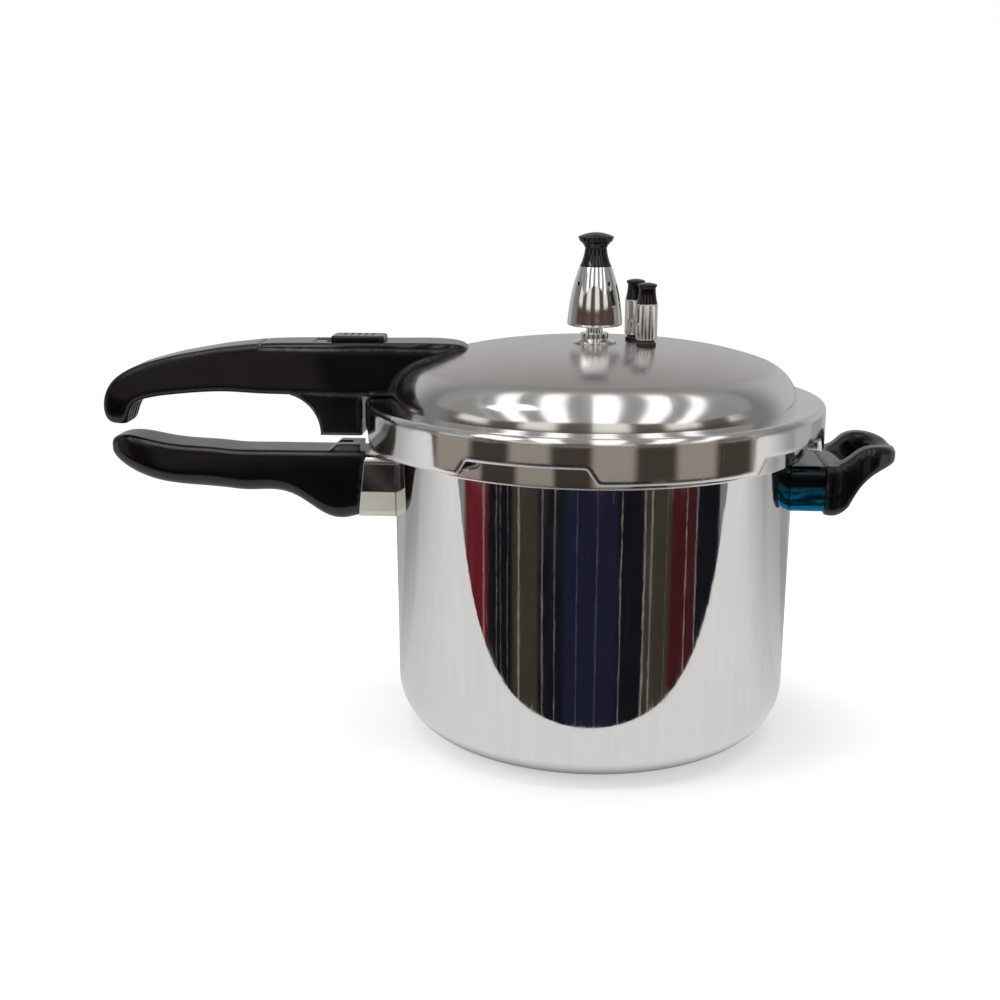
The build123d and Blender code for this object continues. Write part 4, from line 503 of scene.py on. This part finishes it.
def toneRamp(tree, place, bearing, tones):  # colours by bearing, in degrees from straight ahead
    low, high = tones[0][0], tones[-1][0]
    share = remap(tree, (place[0] - 200, place[1]), bearing, math.radians(low), math.radians(high), 0.0, 1.0)
    share.node.interpolation_type = "LINEAR"
    ramp = put(tree, "ValToRGB", place)
    stops = ramp.color_ramp.elements
    stops.remove(stops[-1])
    stops[0].position = 0.0
    stops[0].color = (*tones[0][1], 1.0)
    for degrees, tone in tones[1:]:
        stops.new((degrees - low) / (high - low)).color = (*tone, 1.0)
    wire(tree, (share, ramp.inputs[0]))
    return ramp.outputs[0]


def addGlowCard(name, size, place):  # a glowing card that only metal and gloss show: its tree, coordinates and glow
    card = addCard(name, size, place)
    paint = bpy.data.materials.new(name)
    paint.use_nodes = True
    tree = paint.node_tree
    tree.nodes.remove(tree.nodes["Principled BSDF"])
    coords = put(tree, "TexCoord", (-1700, 0)).outputs["Object"]
    glow = put(tree, "Emission", (400, 0))
    wire(tree, (glow.outputs[0], tree.nodes["Material Output"].inputs[0]))
    card.data.materials.append(paint)
    for ray in ("camera", "diffuse", "shadow", "transmission", "volume_scatter"):
        setattr(card, "visible_" + ray, False)
    return tree, coords, glow


def cardBearing(tree, coords, centre):  # bearing of a card's point from the spot on Y where its tones fan out
    split = put(tree, "SeparateXYZ", (-1500, 0))
    wire(tree, (coords, split.inputs[0]))
    ahead = calc(tree, (-1300, -100), "SUBTRACT", centre, split.outputs[1])
    return calc(tree, (-1100, 0), "ARCTAN2", split.outputs[0], ahead), split.outputs[1]


barEdge = 0.35  # how soft the bars' edges are


def evenBars(tree, place, bearing, count, dark, light):  # light and dark bars of one width
    wave = calc(tree, place, "SINE", calc(tree, (place[0] - 200, place[1]), "MULTIPLY", bearing, count), 0.0)
    share = remap(tree, (place[0] + 200, place[1]), wave, -barEdge, barEdge, 0.0, 1.0)
    return tint(tree, (place[0] + 400, place[1]), share, dark, light)


# the floor as metal shows it: pale in front and greyer behind, dim against the pot's foot
tableLook = {"front": grey(0.74, 0.02), "dark": grey(0.32), "light": grey(0.42), "bars": 10.0, "from": -0.12,
             "to": 0.30, "lift": 0.0002,
             "shadeNear": 0.088, "shadeFar": 0.108, "shade": 0.22}


def addTable(look):
    tree, coords, glow = addGlowCard("paleTable", (stageLook["size"], stageLook["size"]),
                                     (0, 0, look["lift"]))
    bearing, depth = cardBearing(tree, coords, 0.0)
    away = put(tree, "VectorMath", (-1300, -400), operation="LENGTH")
    wire(tree, (coords, away.inputs[0]))
    back = remap(tree, (-700, 100), depth, look["from"], look["to"], 0.0, 1.0)
    barred = evenBars(tree, (-900, 400), bearing, look["bars"], look["dark"], look["light"])
    wire(tree, (tint(tree, (-400, 100), back, look["front"], barred), glow.inputs["Color"]),
         (remap(tree, (-400, -400), away.outputs["Value"], look["shadeNear"], look["shadeFar"], look["shade"], 1.0),
          glow.inputs["Strength"]))


addTable(tableLook)

# a dark screen of plain cloths in front, all of one width, from the left to the right
clothHues = {"grey": (0.20, 0.20, 0.20), "red": (0.12, 0.012, 0.018), "black": (0.007, 0.007, 0.010),
             "olive": (0.040, 0.036, 0.028), "navy": (0.011, 0.012, 0.028), "maroon": (0.05, 0.010, 0.013)}
screenLook = {"width": 4.0, "depth": 2.0, "edge": -0.1935, "fan": -0.063, "farDark": grey(0.04, 0.2),
              "farLight": grey(0.26, 0.15), "farBars": 9.0, "farFrom": 0.76, "farTo": 0.84, "soft": 1.0,
              "lift": 0.0004, "creases": 26.0, "crease": grey(0.55, 0.1), "creaseFrom": 0.66,
              "creaseTo": 0.72, "creaseShare": 0.3,
              "cloths": ("grey", "red", "black", "olive", "black", "navy", "navy", "black",
                         "olive", "maroon", "black",
                         "grey")}


def addScreen(look):
    tree, coords, glow = addGlowCard("darkScreen", (look["width"], look["depth"]),
                                     (0, look["edge"] - look["depth"] / 2, look["lift"]))
    bearing, _ = cardBearing(tree, coords, look["fan"])
    away = put(tree, "VectorMath", (-1300, -400), operation="LENGTH")
    wire(tree, (coords, away.inputs[0]))
    wide = 180.0 / len(look["cloths"])
    tones = []
    for place, cloth in enumerate(look["cloths"]):
        begin = place * wide - 90.0
        tones += [(begin + look["soft"] * (place > 0), clothHues[cloth]),
                  (begin + wide - look["soft"] * (place < len(look["cloths"]) - 1), clothHues[cloth])]
    far = remap(tree, (-450, -300), away.outputs["Value"], look["farFrom"], look["farTo"], 0.0, 1.0)
    thin = put(tree, "TexNoise", (-700, -550), {"Scale": look["creases"], "Detail": 1.0}, noise_dimensions="1D")
    wire(tree, (bearing, thin.inputs["W"]))
    lines = remap(tree, (-450, -550), thin.outputs[0], look["creaseFrom"], look["creaseTo"], 0.0,
                  look["creaseShare"])
    hung = tint(tree, (-250, 150), lines, toneRamp(tree, (-450, 150), bearing, tones), look["crease"])
    beyond = evenBars(tree, (-900, 400), bearing, look["farBars"], look["farDark"], look["farLight"])
    wire(tree, (tint(tree, (-100, 0), far, hung, beyond), glow.inputs["Color"]))


addScreen(screenLook)

# even rows of ceiling lamps, which the lid's shoulder shows as upright bright patches
ceilingLook = {"height": 1.9, "size": (10.0, 4.5), "middle": -1.35, "fan": 1.55, "start": 0.80, "full": 0.05,
               "plain": grey(0.30), "glow": 1.7, "lamps": 20.0, "dim": grey(0.16, 0.02), "bright": grey(0.84, 0.02),
               "side": math.radians(40), "sideFade": math.radians(48)}


def addCeiling(look):
    tree, coords, glow = addGlowCard("ceiling", look["size"], (0, look["middle"], look["height"]))
    bearing, depth = cardBearing(tree, coords, look["fan"])
    lamps = evenBars(tree, (-900, 300), bearing, look["lamps"], look["dim"], look["bright"])
    aside = remap(tree, (-700, 0), calc(tree, (-900, 0), "ABSOLUTE", bearing, 0.0), look["side"], look["sideFade"],
                  0.0, 1.0)
    lit = remap(tree, (-450, -300), depth, look["start"], look["full"], 0.0, 1.0)
    wire(tree, (tint(tree, (100, 0), lit, look["plain"], tint(tree, (-150, 150), aside, lamps, look["dim"])),
                glow.inputs["Color"]),
         (remap(tree, (100, -300), lit, 0.0, 1.0, 1.0, look["glow"]), glow.inputs["Strength"]))


addCeiling(ceilingLook)
# a small lamp that draws bright lines along the handles' edges
handleLamp = {"size": (0.26, 0.10), "place": (-0.37, -0.28, 0.6), "glow": 5.0}
_, _, handleGlow = addGlowCard("handleLamp", handleLamp["size"], handleLamp["place"])
handleGlow.inputs["Strength"].default_value = handleLamp["glow"]

# wide soft boxes light the floor
softBoxes = {"overhead": ((0.0, 0.1, 1.8), (0, 0, 0), (1.8, 1.4), 46.0),
             "leftBox": ((-1.4, -0.6, 1.1), (0, math.radians(-55), 0), (1.0, 1.0), 12.0)}


def addLamp(name, place, turn, size, power):  # a soft box that metal does not show
    lamp = bpy.data.lights.new(name, "AREA")
    lamp.shape = "RECTANGLE"
    lamp.size, lamp.size_y = size
    lamp.energy = power
    lampObject = bpy.data.objects.new(name, lamp)
    lampObject.location = place
    lampObject.rotation_euler = turn
    lampObject.visible_glossy = False
    scene.collection.objects.link(lampObject)


for name, (place, turn, size, power) in softBoxes.items():
    addLamp(name, place, turn, size, power)

skyLook = {"back": grey(0.50, 0.02), "backHigh": grey(0.36, 0.03), "side": grey(0.20, 0.03),
           "zenith": grey(0.12, 0.03), "low": (0.085, 0.055, 0.045, 1.0), "lowTop": 0.10, "lowFade": 0.16,
           "climb": (0.25, 0.75), "straight": (0.30, 0.75), "front": (-0.1, 0.25), "high": (0.80, 0.97),
           "bars": 9.0, "dark": (0.09, 0.08, 0.065, 1.0), "light": (0.82, 0.80, 0.74, 1.0)}


def makeSky(look):  # white behind the object for the camera; for metal, a pale wall behind and even windows in front
    world = bpy.data.worlds.new("studio")
    world.use_nodes = True
    scene.world = world
    tree = world.node_tree
    split = put(tree, "SeparateXYZ", (-1300, 0))
    wire(tree, (put(tree, "TexCoord", (-1500, 0)).outputs["Generated"], split.inputs[0]))
    ahead = calc(tree, (-1100, -100), "MULTIPLY", split.outputs[1], -1.0)
    bearing = calc(tree, (-900, -100), "ARCTAN2", split.outputs[0], ahead)
    barred = evenBars(tree, (-700, -150), bearing, look["bars"], look["dark"], look["light"])
    skyline = remap(tree, (-500, -400), split.outputs[2], look["lowTop"], look["lowFade"], 0.0, 1.0)
    room = tint(tree, (-300, -400), skyline, look["low"], barred)
    climb = remap(tree, (-500, 500), split.outputs[2], *look["climb"], 0.0, 1.0)
    behind = tint(tree, (-300, 500), climb, look["back"], look["backHigh"])
    straight = remap(tree, (-500, 700), split.outputs[1], *look["straight"], 0.0, 1.0)
    wall = tint(tree, (-200, 500), straight, look["side"], behind)
    front = remap(tree, (-500, 100), ahead, *look["front"], 0.0, 1.0)
    around = tint(tree, (-100, 0), front, wall, room)
    high = remap(tree, (-500, 300), split.outputs[2], *look["high"], 0.0, 1.0)
    above = tint(tree, (100, 0), high, around, look["zenith"])
    seen = tint(tree, (300, 0), put(tree, "LightPath", (-100, 300)).outputs["Is Camera Ray"], above, grey(1.0))
    wire(tree, (seen, tree.nodes["Background"].inputs[0]))


makeSky(skyLook)
scene.view_settings.view_transform = "Standard"
print("stage and light set")

cameraView = {"place": (-0.0025, -0.802, 0.322), "turn": (76.5, -0.11, 3.6), "lens": 51.73, "sensor": 36.0}
cameraData = bpy.data.cameras.new("photoView")
cameraData.lens = cameraView["lens"]
cameraData.sensor_width = cameraView["sensor"]
cameraObject = bpy.data.objects.new("photoView", cameraData)
cameraObject.location = cameraView["place"]
cameraObject.rotation_euler = [math.radians(angle) for angle in cameraView["turn"]]
scene.collection.objects.link(cameraObject)
scene.camera = cameraObject
